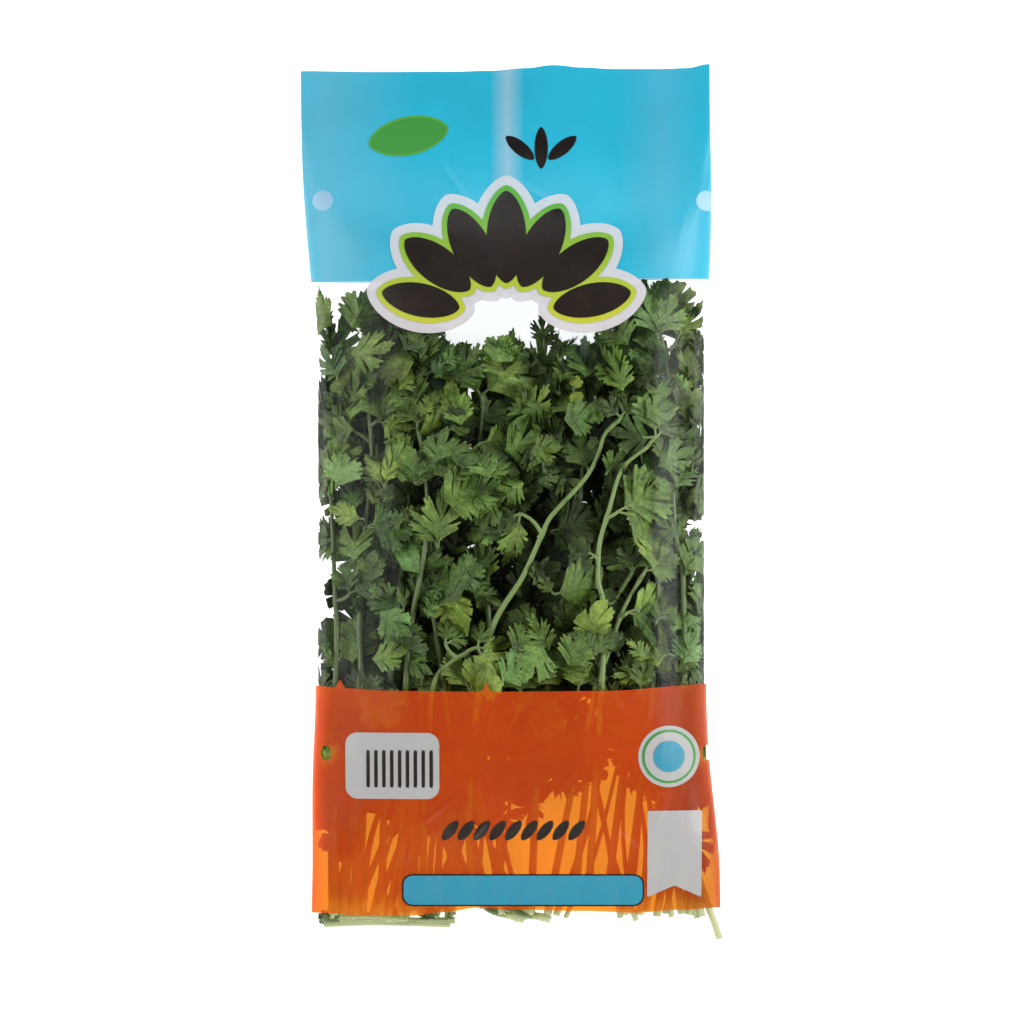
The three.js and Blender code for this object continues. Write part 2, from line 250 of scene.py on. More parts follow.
# layer: its level of leaves. foot and cut: where it is cut, in X and Y. way: the points that it passes.
# tone: 0 dark to 1 bright. hue: -1 bluish to 1 yellow. leaves: joint in X and Y, then leaflets as heading
# from +Y, reach, tone, hue, width and outline.
SPRIGS = [
    {"layer": 8, "foot": 25.5, "cut": -133.5, "tone": 0.7, "hue": 0.25,
     "way": [(27.5, -98.5), (29.5, -65.5), (30.5, -36.5), (28.5, -25.5), (29, -14), (32, -3.5), (36.5, 10.5),
             (45, 18)],
     "leaves": [(27.5, -18, [(-62, 8, 0.4, 0, 1, 0), (-118, 6, 0.35, 0, 1, 0)]),
                (35, -3.5, [(60, 18.5, 0.6, 0.05, 1, 0), (103, 19.5, 0.55, 0.25, 1, 0)]),
                (47.5, 21, [(-4, 16.5, 0.55, -0.1, 1, 0), (-90, 14, 0.45, -0.3, 1, 1),
                            (48, 10, 0.4, 0, 1, 0)])]},
    {"layer": 7, "foot": -12.5, "cut": -133, "tone": 0.7, "hue": 0.3,
     "way": [(-14, -98.5), (-10, -59), (-5.5, -40), (4, -24.5), (10.5, -10), (13.5, -4.5), (24, 7),
             (28.5, 15), (30.5, 21.5), (34, 25.5)],
     "leaves": [(3, -4, [(190, 16, 0.7, 0.2, 0.6, 1), (-115, 8, 0.4, 0, 1, 0)]),
                (36, 27.5, [(34, 8, 0.45, 0, 1, 1), (-48, 8, 0.4, 0, 1, 1)])]},
    {"layer": 8, "foot": -30, "tone": 0.6, "hue": 0.3,
     "way": [(-27.5, -85.5), (-25.5, -60.5), (-20, -53), (-14, -49.5)],
     "leaves": [(-21.5, -47, [(60, 8, 0.55, 0.1, 1, 1), (4, 8, 0.5, 0.1, 1, 1)]),
                (-11, -48, [(98, 9.5, 0.75, 0.2, 0.9, 1), (152, 15.5, 0.65, 0.5, 0.9, 2),
                            (15, 8, 0.5, 0.1, 1, 1)])]},
    {"layer": 7, "foot": -36.5, "tone": 0.42, "hue": 0.35,
     "way": [(-35.5, -85.5), (-33.5, -46), (-28, -13), (-28, 9.5), (-30.5, 23.5)],
     "leaves": [(-31.5, 16, [(-62, 9, 0.55, 0.3, 1, 0), (-118, 7.5, 0.45, 0.2, 1, 0)]),
                (-21, 23, [(8, 15, 0.8, 0.2, 0.8, 0), (62, 7.5, 0.5, 0, 1, 0)]),
                (-10, 19, [(80, 12, 0.7, 0.25, 0.9, 1), (128, 9, 0.5, 0, 1, 0)]),
                (-30.5, 25.5, [(46, 10, 0.7, 0.35, 1, 1), (-42, 8.5, 0.5, 0.1, 1, 0),
                               (4, 10, 0.6, 0.3, 0.8, 1)])]},
    {"layer": 6, "foot": -19.5, "tone": 0.45, "hue": 0.35,
     "way": [(-19.5, -85.5), (-24.5, -45), (-26.5, -35), (-29.5, -25.5), (-32, -22)],
     "leaves": [(-20, -28.5, [(180, 11, 0.85, 0.6, 1.1, 2), (-134, 7, 0.35, 0.5, 1, 1),
                              (62, 14, 0.45, -0.4, 1, 0)]),
                (-32, -19.5, [(-8, 18, 0.8, 0.2, 0.75, 0), (-62, 10.5, 0.55, 0.1, 1, 0)])]},
    {"layer": 6, "foot": -51.5, "tone": 0.34, "hue": 0.3,
     "way": [(-51.5, -85.5), (-49.5, -55), (-50, -41.5), (-48.5, -19.5), (-48, -9.5), (-46, 10), (-46, 20),
             (-47.5, 36.5)],
     "leaves": [(-51, -6.5, [(-82, 8, 0.6, 0.4, 0.8, 1), (-30, 9, 0.6, 0.5, 0.6, 1)]),
                (-44, 26.5, [(62, 13, 0.65, 0.1, 0.9, 1), (108, 11, 0.7, 0.5, 0.9, 1)]),
                (-53, 23.5, [(-14, 15, 0.7, 0, 0.9, 1), (-62, 8.5, 0.4, 0, 1, 0)]),
                (-48, 39.5, [(31, 13, 0.75, 0.05, 0.85, 1), (-68, 9.5, 0.55, -0.1, 0.9, 1)])]},
    {"layer": 7, "foot": -58, "tone": 0.3, "hue": 0.4,
     "way": [(-58.5, -85.5), (-57.5, -46), (-58.5, -19.5), (-59.5, 3.5)],
     "leaves": [(-53, -30.5, [(-12, 9, 0.45, 0, 1, 0), (60, 10.5, 0.4, 0, 1, 0)]),
                (-61, 6.5, [(24, 15, 0.55, 0.3, 0.75, 1), (62, 11, 0.5, 0.2, 0.9, 1)])]},
    {"layer": 6, "foot": 21, "cut": -132.5, "tone": 0.6, "hue": 0.45,
     "way": [(25.5, -85.5), (30, -38), (33.5, -33.5), (39, -25)],
     "leaves": [(40, -23, [(-45, 12, 0.45, 0, 1, 0), (42, 12.5, 0.7, 0, 0.6, 0), (-4, 9, 0.4, 0, 1, 1)])]},
    {"layer": 7, "foot": 12, "tone": 0.65, "hue": 0.4,
     "way": [(19.5, -98.5), (28.5, -59.5), (32, -49.5), (36.5, -36.5), (42.5, -25.5)],
     "leaves": [(26.5, -49, [(-4, 15, 0.7, 0.5, 0.8, 2), (-52, 8.5, 0.45, 0.1, 1, 0)]),
                (38.5, -36.5, [(72, 12.5, 0.75, 0.1, 0.8, 0), (112, 8.5, 0.5, 0, 1, 0)]),
                (44, -23, [(30, 12, 0.5, 0, 1, 1), (76, 11, 0.5, 0.1, 1, 0)])]},
    {"layer": 7, "foot": 42.5, "tone": 0.5, "hue": 0.3,
     "way": [(49, -98.5), (57, -59.5), (57, -39.5), (56.5, -24), (54, -9.5), (53, 10), (52, 30)],
     "leaves": [(54, -51, [(-72, 16, 0.6, 0.3, 1.1, 0), (-122, 8, 0.45, 0.2, 1, 0)]),
                (59.5, -17, [(0, 7.5, 0.35, 0.3, 1, 0), (60, 3, 0.3, 0.3, 1, 0)]),
                (52, 32.5, [(12, 16, 0.55, 0.45, 0.8, 0), (-35, 10, 0.4, 0, 1, 1)])]},
    {"layer": 5, "foot": 37.5, "tone": 0.4, "hue": 0.2,
     "way": [(42.5, -98.5), (46, -65.5), (48, -32.5), (50, 0.5), (52, 33.5), (50.5, 48), (48.5, 58)],
     "leaves": [(53.5, 51, [(26, 16, 0.6, 0.45, 0.8, 1), (84, 9, 0.45, 0.4, 0.9, 1)]),
                (47.5, 51, [(-100, 14, 0.45, -0.5, 1, 0), (-62, 11, 0.45, -0.5, 0.9, 1)]),
                (48, 60.5, [(-70, 13, 0.4, -0.7, 1, 1), (-22, 12, 0.5, -0.8, 0.9, 1),
                            (28, 12, 0.6, 0.1, 1, 1)])]},
    {"layer": 5, "foot": -3.5, "tone": 0.38, "hue": 0.3,
     "way": [(-4.5, -85.5), (-7, -46), (-8.5, -13), (-10, 17), (-9.5, 32)],
     "leaves": [(-4.5, 1, [(12, 10, 0.45, 0.1, 1, 0), (76, 11, 0.5, 0.1, 1, 0)]),
                (3.5, 26.5, [(45, 12.5, 0.75, 0.4, 0.8, 1), (82, 10.5, 0.7, 0.4, 0.8, 1)]),
                (-5.5, 16, [(110, 11, 0.5, 0.1, 1, 0), (60, 10, 0.5, 0.1, 1, 1)]),
                (-10, 34.5, [(48, 22, 0.7, 0.15, 1.05, 0), (-27, 15, 0.7, -0.4, 0.8, 1)])]},
    {"layer": 5, "foot": -43, "tone": 0.32, "hue": 0.3,
     "way": [(-41.5, -85.5), (-38.5, -46), (-35, -13), (-32.5, 17), (-30, 38.5)],
     "leaves": [(-38.5, -19.5, [(-72, 13.5, 0.5, -0.5, 1.1, 0), (-20, 12, 0.5, -0.2, 1, 0)]),
                (-39, 53, [(-50, 11, 0.3, -0.2, 1, 1), (-95, 9, 0.3, -0.1, 1, 1)]),
                (-29.5, 41.5, [(12, 15, 0.45, 0.3, 0.6, 3), (-10, 14, 0.4, 0.3, 0.6, 3),
                               (60, 12, 0.5, -0.8, 0.6, 1)])]},
    {"layer": 4, "foot": 6.5, "tone": 0.36, "hue": 0.2,
     "way": [(9, -85.5), (14.5, -46), (21, -13), (23.5, 11), (23, 25.5)],
     "leaves": [(15, 6, [(-14, 13, 0.45, 0, 1, 1), (-60, 12, 0.35, 0, 1, 0)]),
                (28, -6.5, [(78, 13, 0.4, 0, 1, 0), (40, 10.5, 0.45, 0, 1, 1)]),
                (23, 27.5, [(-30, 12, 0.3, 0.1, 1, 1), (25, 11, 0.35, 0, 1, 1), (-78, 10, 0.3, 0, 1, 0)])]},
    {"layer": 3, "foot": 31.5, "cut": -133.5, "tone": 0.4, "hue": 0.2,
     "way": [(37.5, -85.5), (42.5, -46), (46, -13), (42.5, 20), (36.5, 44.5)],
     "leaves": [(39.5, -39.5, [(-60, 13, 0.4, 0, 1, 0), (-110, 11, 0.35, 0, 1, 0)]),
                (50, 0.5, [(40, 12.5, 0.4, 0.2, 1, 0), (100, 10.5, 0.35, 0.1, 1, 0)]),
                (36, 47, [(-30, 12.5, 0.35, -0.5, 1, 1), (30, 12, 0.4, -0.3, 1, 1),
                          (-86, 11, 0.3, 0, 1, 0)])]},
]


def through(points, count):
    """A Catmull-Rom curve through the points, resampled at count equal steps of length."""
    points = np.asarray(points, float)
    padded = np.vstack([2 * points[0] - points[1], points, 2 * points[-1] - points[-2]])
    t = np.linspace(0, 1, 16, endpoint=False)[:, None, None]
    a, b, c, d = padded[:-3], padded[1:-2], padded[2:-1], padded[3:]
    bend, twist = 2 * a - 5 * b + 4 * c - d, 3 * b - a - 3 * c + d
    curve = 0.5 * (2 * b + (c - a) * t + bend * t**2 + twist * t**3)
    curve = np.vstack([curve.transpose(1, 0, 2).reshape(-1, points.shape[1]), points[-1:]])
    along = np.concatenate([[0], np.cumsum(np.linalg.norm(np.diff(curve, axis=0), axis=1))])
    steps = np.linspace(0, along[-1], count)
    return np.stack([np.interp(steps, along, curve[:, k]) for k in range(points.shape[1])], 1)


def tube(path, radius, sides, ribs=0.0):
    """Rings of radius r · (1 + ribs · cos 5a) about a path, with each end ring drawn in to close it.
    Returns points, quads and, for each point, its angle and its distance along the path."""
    path = np.vstack([path[:1], path, path[-1:]])
    radius = np.concatenate([[CLOSED], radius, [CLOSED]])
    ahead = np.gradient(path, axis=0)
    ahead /= np.linalg.norm(ahead, axis=1, keepdims=True) + 1e-9
    side = np.cross(ahead, (0, 0, 1))
    side /= np.linalg.norm(side, axis=1, keepdims=True) + 1e-9
    up = np.cross(side, ahead)
    turn = np.linspace(0, 2 * np.pi, sides, endpoint=False)
    reach = radius[:, None] * (1 + ribs * np.cos(5 * turn))
    points = path[:, None] + reach[..., None] * (
        np.cos(turn)[:, None] * side[:, None] + np.sin(turn)[:, None] * up[:, None])
    along = np.concatenate([[0], np.cumsum(np.linalg.norm(np.diff(path, axis=0), axis=1))])
    uv = np.stack(np.broadcast_arrays(turn / (2 * np.pi), along[:, None] / 10), -1)
    return points.reshape(-1, 3), grid_faces(len(path), sides, ring=True), uv.reshape(-1, 2)


class Parts:
    """Collects the grids of one piece, with their uv and tint, into single arrays."""

    def __init__(self):
        self.points, self.faces, self.uv, self.tint, self.kinds, self.count = [], [], [], [], [], 0

    def add(self, points, faces, uv, tone, hue, kind=0):
        self.points.append(points)
        self.faces.append(faces + self.count)
        self.uv.append(uv)
        tone, hue, one = np.broadcast_arrays(tone, hue, np.ones(len(points)))
        self.tint.append(np.stack([tone, 0.5 + 0.5 * hue, 0 * one, one], 1))
        self.kinds.append(np.full(len(faces), kind))
        self.count += len(points)

    def make(self, name, materials, nodes=()):
        make_piece(name, np.vstack(self.points), np.vstack(self.faces), materials, nodes,
                   np.vstack(self.uv), np.vstack(self.tint), np.concatenate(self.kinds))


def stem_material():
    """Ribbed pale green skin: colour by the tint attribute, streaked along the stem, with a soft gloss."""
    r = Recipe("stem_skin")
    tone, hue = r.tint()
    streaks = r.noise(r.mapping(r.coordinates("UV"), (22, 0.5, 1)), 1.0, detail=3)
    tone = r.math("ADD", tone, r.remap(streaks, 0.3, 0.7, -0.12, 0.12))
    green = r.ramp(tone, (0.0, (0.012, 0.022, 0.006)), (0.5, (0.058, 0.10, 0.025)),
                   (0.8, (0.15, 0.22, 0.065)), (1.0, (0.42, 0.42, 0.24)))
    colour = r.mix(r.remap(hue, 0.5, 1.0, 0.0, 0.3), green, (0.18, 0.20, 0.055, 1))
    return r.finish(r.principled(Base_Color=colour, Roughness=0.42, Specular_IOR_Level=0.45,
                                 Subsurface_Weight=0.15, Subsurface_Radius=(0.4, 0.8, 0.2),
                                 Subsurface_Scale=0.002, Normal=r.bump(streaks, 0.35, 0.0004)))


stem_skin = stem_material()


def stem_route(foot, way, layer, cut=FOOT_Y):
    """A stem's middle line: its plan through its cut end and the way, at a level that rises over the
    printed foot to its own."""
    plan = through([(foot, cut), *way], ROUTE_POINTS)
    level = FOOT_LEVEL + (layer - FOOT_LEVEL) * smooth(plan[:, 1], -86, -58)
    return np.column_stack([plan, layer_height(plan[:, 0], plan[:, 1], level, FOOT_RADIUS + 0.3)])


def pale_end(uv, tone):
    """A stem's tone: nearly white where it was cut, and its own from 10 mm on."""
    return tone + (0.95 - tone) * (1 - smooth(uv[:, 1] * 10, 3, 10))


def stalk_route(start, end, bow, lift):
    """A thin stalk's middle line: straight from start to end, bowed to one side and lifted in its middle by a
    half sine wave."""
    t = np.linspace(0, 1, 14)[:, None]
    plan = start + (end - start) * t
    aside = np.array([end[1] - start[1], start[0] - end[0], 0.0])
    return plan + np.sin(np.pi * t) * (bow * aside + np.array([0, 0, lift]))


def heading_of(degrees):
    """Unit vector of a heading, clockwise from +Y."""
    a = np.radians(degrees)
    return np.stack([np.sin(a), np.cos(a)], -1)


# ---- leaves --------------------------------------------------------------------------------------------
# Each leaf is cut into fan-shaped leaflets on short stalks, soft and matt, with toothed lobes and veins that
# run out like the ribs of a fan. They lie in every direction, pressed against the film where it touches them.

# Half of a leaflet's edge from its tip to its stalk, as (across, along) in shares of its length. All four run
# through the same points: half a middle lobe with its teeth, then two side lobes, with narrow clefts between.
BROAD = [(0, 1), (.045, .985), (.07, .91), (.12, .935), (.155, .91), (.155, .83), (.215, .81), (.195, .71),
         (.10, .52), (.22, .66), (.30, .775), (.345, .785), (.355, .70), (.43, .715), (.47, .685),
         (.425, .605), (.495, .575), (.50, .535), (.40, .475), (.21, .36), (.35, .425), (.46, .44),
         (.485, .40), (.41, .35), (.45, .295), (.43, .255), (.31, .21), (.11, .09), (.02, 0)]
CLEFT = [(0, 1.02), (.03, 1), (.045, .90), (.095, .925), (.12, .905), (.10, .80), (.145, .785), (.12, .66),
         (.05, .42), (.19, .60), (.27, .76), (.31, .77), (.295, .67), (.375, .70), (.41, .675),
         (.35, .575), (.43, .555), (.435, .515), (.31, .43), (.12, .28), (.29, .36), (.42, .41),
         (.45, .375), (.35, .31), (.405, .27), (.39, .23), (.24, .17), (.07, .06), (.02, 0)]
ROUND = [(0, .97), (.06, .955), (.08, .90), (.14, .92), (.19, .895), (.20, .83), (.26, .82), (.25, .74),
         (.17, .60), (.28, .69), (.36, .76), (.41, .75), (.42, .69), (.49, .68), (.52, .64),
         (.49, .58), (.54, .54), (.545, .49), (.46, .44), (.31, .37), (.43, .40), (.52, .39),
         (.53, .35), (.47, .31), (.49, .255), (.46, .215), (.34, .165), (.12, .06), (.02, 0)]
NEEDLE = [(0, 1.03), (.015, .99), (.02, .80), (.085, .90), (.10, .885), (.045, .70), (.14, .78), (.04, .60),
          (.02, .46), (.13, .58), (.21, .72), (.225, .71), (.17, .58), (.29, .64), (.30, .62),
          (.18, .50), (.30, .50), (.30, .48), (.12, .38), (.025, .24), (.16, .32), (.31, .38),
          (.32, .36), (.19, .27), (.30, .24), (.30, .22), (.12, .14), (.03, .05), (.01, 0)]
HALF = len(BROAD)
EDGES = np.array([BROAD, CLEFT, ROUND, NEEDLE])
EDGES = np.concatenate([EDGES[:, :0:-1] * (-1, 1), EDGES], 1)
STEP = np.abs(np.arange(1 - HALF, HALF))  # 0 at the tip, HALF - 1 at the stalk
RIGHT = np.sign(np.arange(1 - HALF, HALF))
SPINE = 0.5 * (1 - STEP / (HALF - 1)) ** 0.9  # where on the midrib each point of the edge hangs
# Whole numbers run out to the teeth and halves to the notches.
VEIN = RIGHT * np.interp(STEP, [0, 2, 3.5, 5, 6, 8, 10.5, 12, 13.5, 15, 16.5, 19, 21.5, 23, 24.5, 28],
                         [0, .5, 1, 1.5, 2, 2.5, 3, 3.5, 4, 4.5, 5, 5.5, 6, 6.5, 7, 8])
VEINS = 20  # the whole width of the surface map, in veins
LOBE = 2 + RIGHT * np.searchsorted([8, 19], STEP)
EVERY = np.arange(2 * HALF - 1)
FEW = np.array([0, 2, 4, 6, 8, 10, 12, 14, 16, 19, 21, 23, 25, 28])
FEW = np.concatenate([HALF - 1 - FEW[:0:-1], HALF - 1 + FEW])
LEAFLET_STALK = 0.12  # its length, as a share of the leaflet's reach
BLADE = 0.15  # half the thickness that a blade takes up


def eased(values):
    """Rounds an edge off: each span keeps only the points at a quarter and three quarters of its length."""
    start, end = values[..., :-1], values[..., 1:]
    kept = np.stack([0.75 * start + 0.25 * end, 0.25 * start + 0.75 * end], -1)
    return np.concatenate([values[..., :1], kept.reshape(*values.shape[:-1], -1), values[..., -1:]], -1)


# Which points of the edge a leaflet keeps, its rows from midrib to edge, and what finishes the edge.
FINE = (EVERY, (0, 0.4, 0.75, 1), eased)
PLAIN = (EVERY, (0, 0.4, 0.75, 1), np.asarray)
COARSE = (FEW, (0, 0.5, 1), np.asarray)


def column(values, count):
    """One value for each leaflet, as a column."""
    return np.broadcast_to(np.asarray(values, float), count)[:, None]


def drawn_in(aside):
    """A place across the sleeve, as a share of its half width. Up to 0.93 it stays as it is, and what goes
    over that shrinks to 0.07 · tanh(over / 0.07), so that nothing passes the fold."""
    over = np.maximum(np.abs(aside) - 0.93, 0)
    return aside - np.sign(aside) * (over - 0.07 * np.tanh(over / 0.07))


def leaflets(parts, rng, place, heading, reach, layer, tone, hue, width, edge, lively, build=FINE):
    """Adds many leaflets at once. A leaflet's points run in rows from its midrib to its edge, its notches are
    drawn towards the midrib or away from it by up to a seventh, and its midrib bends aside with the square of
    the distance along. Its height over its level is the sum of a pitch and a roll, a fold along the midrib, a
    cup that grows with the square of the distance across, a droop that grows with the square of the distance
    along, a lift for each lobe and a small wave for each tooth. The folds squeeze it at the sides, and the
    films hold it in from above and below."""
    n = len(place)
    columns, rows, finish = build
    rows = np.array(rows)[None, :, None]
    uneven = np.where(RIGHT[columns] > 0, rng.uniform(0.85, 1.15, (n, 1)), rng.uniform(0.85, 1.15, (n, 1)))
    edge = EDGES[edge][:, columns]
    across = edge[..., 0] * column(width, n) * uneven * 1.06 + rng.normal(0, 0.012, edge.shape[:2])
    along = edge[..., 1] * (1 + rng.normal(0, 0.022, edge.shape[:2]))
    size = column(reach, n)[..., None] * (1 - LEAFLET_STALK)
    cleft = 1 - rng.uniform(-0.08, 0.14, (n, 1)) * np.sin(np.pi * VEIN[columns]) ** 2
    across, along = across * cleft, SPINE[columns] + (along - SPINE[columns]) * cleft
    vein, spine, across, along = (finish(values) for values in (VEIN[columns], SPINE[columns], across, along))
    down = spine + (along[:, None] - spine) * rows
    across = (across[:, None] * rows + rng.normal(0, 0.16, (n, 1, 1)) * down**2) * size
    along = down * size
    lively = column(lively, n)[..., None]
    pitch, roll = rng.normal(0, 0.32, (n, 1, 1)), rng.normal(0, 0.44, (n, 1, 1))
    cup, droop = rng.normal(-0.4, 0.6, (n, 1, 1)), rng.normal(-0.35, 0.35, (n, 1, 1))
    fold = rng.normal(0.12, 0.3, (n, 1, 1))
    lift = finish(rng.normal(0, 0.13, (n, 5))[:, LOBE[columns]])[:, None, :] * rows**1.5
    wave = 0.006 * np.cos(2 * np.pi * vein) * rows**2
    relief = (pitch * along + roll * across + fold * np.abs(across) + cup * across**2 / size
              + droop * along**2 / size + (lift + wave) * size) * lively
    out = heading_of(heading)[:, None, None, :]
    right = np.stack([out[..., 1], -out[..., 0]], -1)
    base = place[:, None, None, :] + out * (size * LEAFLET_STALK / (1 - LEAFLET_STALK))[..., None]
    plan = base + along[..., None] * out + across[..., None] * right
    x, y = plan[..., 0], plan[..., 1]
    room = half_width_at(y) - FOLD_CLEARANCE
    x = middle_at(y) + drawn_in((x - middle_at(y)) / room) * room
    low, high = room_at(x, y, BLADE)
    z = np.clip(layer_height(x, y, column(layer, n)[..., None]) + relief, low, np.maximum(low, high))
    points = np.stack([x, y, z], -1)
    each = len(vein) * rows.size  # points of one leaflet
    faces = grid_faces(rows.size, len(vein))[:, ::-1]
    faces = (faces[None] + (np.arange(n) * each)[:, None, None]).reshape(-1, 4)
    uv = np.stack(np.broadcast_arrays(vein / VEINS + 0.5, down), -1).reshape(-1, 2)
    tone, hue = (np.repeat(np.broadcast_to(np.asarray(v, float), n), each) for v in (tone, hue))
    parts.add(points.reshape(-1, 3), faces, uv, tone, hue, kind=1)


def leaf_material():
    """Soft green blade: colour by the tint attribute, from dark to bright and from bluish to yellow, with
    paler veins like the ribs of a fan, a fine mottle, and some light let through."""
    r = Recipe("leaf_blade")
    tone, hue = r.tint()
    blade = r.coordinates("UV")
    swing = r.noise(r.mapping(blade, (3, 2, 1)), 1.0, detail=1)
    turn = r.math("ADD", r.math("MULTIPLY", r.split(blade)[0], VEINS), r.remap(swing, 0.3, 0.7, -0.2, 0.2))
    ribs = r.math("PINGPONG", turn, 0.5)
    vein = r.remap(ribs, 0.0, 0.10, 1.0, 0.0)
    mottle = r.noise(r.coordinates("Object"), 700.0, detail=3, roughness=0.6)
    patches = r.noise(r.coordinates("Object"), 160.0, detail=2)
    tone = r.math("ADD", tone, r.remap(mottle, 0.3, 0.7, -0.12, 0.12))
    tone = r.math("ADD", tone, r.remap(patches, 0.3, 0.7, -0.12, 0.12))
    tone = r.math("ADD", tone, r.math("MULTIPLY", vein, 0.13))
    green = r.ramp(tone, (0.0, (0.004, 0.007, 0.002)), (0.3, (0.024, 0.043, 0.007)),
                   (0.6, (0.092, 0.158, 0.027)), (1.0, (0.28, 0.43, 0.10)))
    yellow = r.mix(1.0, green, (1.35, 1.08, 0.65, 1), "MULTIPLY")
    blue = r.mix(1.0, green, (0.76, 1.0, 1.45, 1), "MULTIPLY")
    colour = r.mix(r.remap(hue, 0.5, 1.0), green, yellow)
    colour = r.mix(r.remap(hue, 0.5, 0.0), colour, blue)
    quilt = r.math("ADD", r.math("MULTIPLY", mottle, 0.7), r.math("MULTIPLY", patches, 1.6))
    relief = r.bump(r.math("ADD", quilt, r.math("MULTIPLY", vein, -0.2)), 0.9, 0.0009)
    front = r.principled(Base_Color=colour, Roughness=0.46, Specular_IOR_Level=0.36, Normal=relief)
    through_it = r.node("ShaderNodeBsdfTranslucent",
                        Color=r.mix(1.0, colour, (1.5, 1.6, 0.6, 1), "MULTIPLY"), Normal=relief).outputs[0]
    return r.finish(r.blend(0.22, front, through_it))


leaf_blade = leaf_material()


def leaf_root(route, joint):
    """Where a leaf's stalk leaves its stem: as far below the joint as 0.6 of its distance to the side, or at
    the stem's tip."""
    level = min(joint[1], route[-1, 1])
    beside = abs(joint[0] - np.interp(level, route[:, 1], route[:, 0]))
    return route[np.argmin(np.abs(route[:, 1] - min(joint[1] - 0.6 * beside, route[-1, 1])))]


FULL_GROWN = 1.16  # the blades reach this much further than the tables say
STALK_RUN = 2.2  # a leaflet's stalk runs on under the blade to this many times its own length
NODE_SWELL = 0.22  # a stem is this much stouter where a leaf leaves it
NODE_LENGTH = 1.8  # over this far to each side


def add_leaf(parts, rng, root, joint, layer, blades, tone, hue, lively):
    """A compound leaf: its stalk from the root to the joint, a short stalk to each leaflet, and leaflets."""
    joint = np.array([*joint, layer_height(joint[0], joint[1], layer, 0.5)])
    blades = np.array(blades, float)
    blades[:, 1] *= FULL_GROWN
    if root is not None:
        route = stalk_route(root, joint, rng.uniform(-0.12, 0.12), rng.uniform(0, 0.8))
        parts.add(*tube(route, np.linspace(0.75, 0.55, len(route)), 8), tone, hue)
    for angle, reach in blades[:, :2]:
        end = joint[:2] + heading_of(angle) * LEAFLET_STALK * STALK_RUN * reach
        end = np.array([*end, layer_height(end[0], end[1], layer, 0.4)])
        parts.add(*tube(stalk_route(joint, end, 0, 0), np.linspace(0.5, 0.3, 14), 6), tone, hue)
    leaflets(parts, rng, np.tile(joint[:2], (len(blades), 1)), blades[:, 0], blades[:, 1], layer,
             blades[:, 2], blades[:, 3], blades[:, 4], blades[:, 5].astype(int), lively)


for index, sprig in enumerate(SPRIGS):
    number = f"{index + 1:02d}"
    rng = np.random.default_rng(100 + index)
    route = stem_route(sprig["foot"], sprig["way"], sprig["layer"], sprig.get("cut", FOOT_Y))
    roots = np.array([leaf_root(route, joint[:2]) for joint in sprig["leaves"]])
    to_node = np.linalg.norm(route[:, None] - roots, axis=2).min(1)
    radius = np.linspace(FOOT_RADIUS, TIP_RADIUS, len(route))
    radius += NODE_SWELL * np.exp(-(to_node / NODE_LENGTH) ** 2)
    stem = Parts()
    points, faces, uv = tube(route, radius, 15, ribs=0.05)
    stem.add(points, faces, uv, pale_end(uv, sprig["tone"]), sprig["hue"])
    stem.make("sprig_stem_" + number, [stem_skin], ["stem_" + number])
    leaves = Parts()
    for root, (x, y, blades) in zip(roots, sprig["leaves"]):
        add_leaf(leaves, rng, root, (x, y), sprig["layer"], blades, sprig["tone"], sprig["hue"], 0.8)
    nodes = [f"leaf_{number}_{letter}" for letter in "abcd"[:len(sprig["leaves"])]]
    leaves.make("sprig_leaves_" + number, [stem_skin, leaf_blade], nodes)
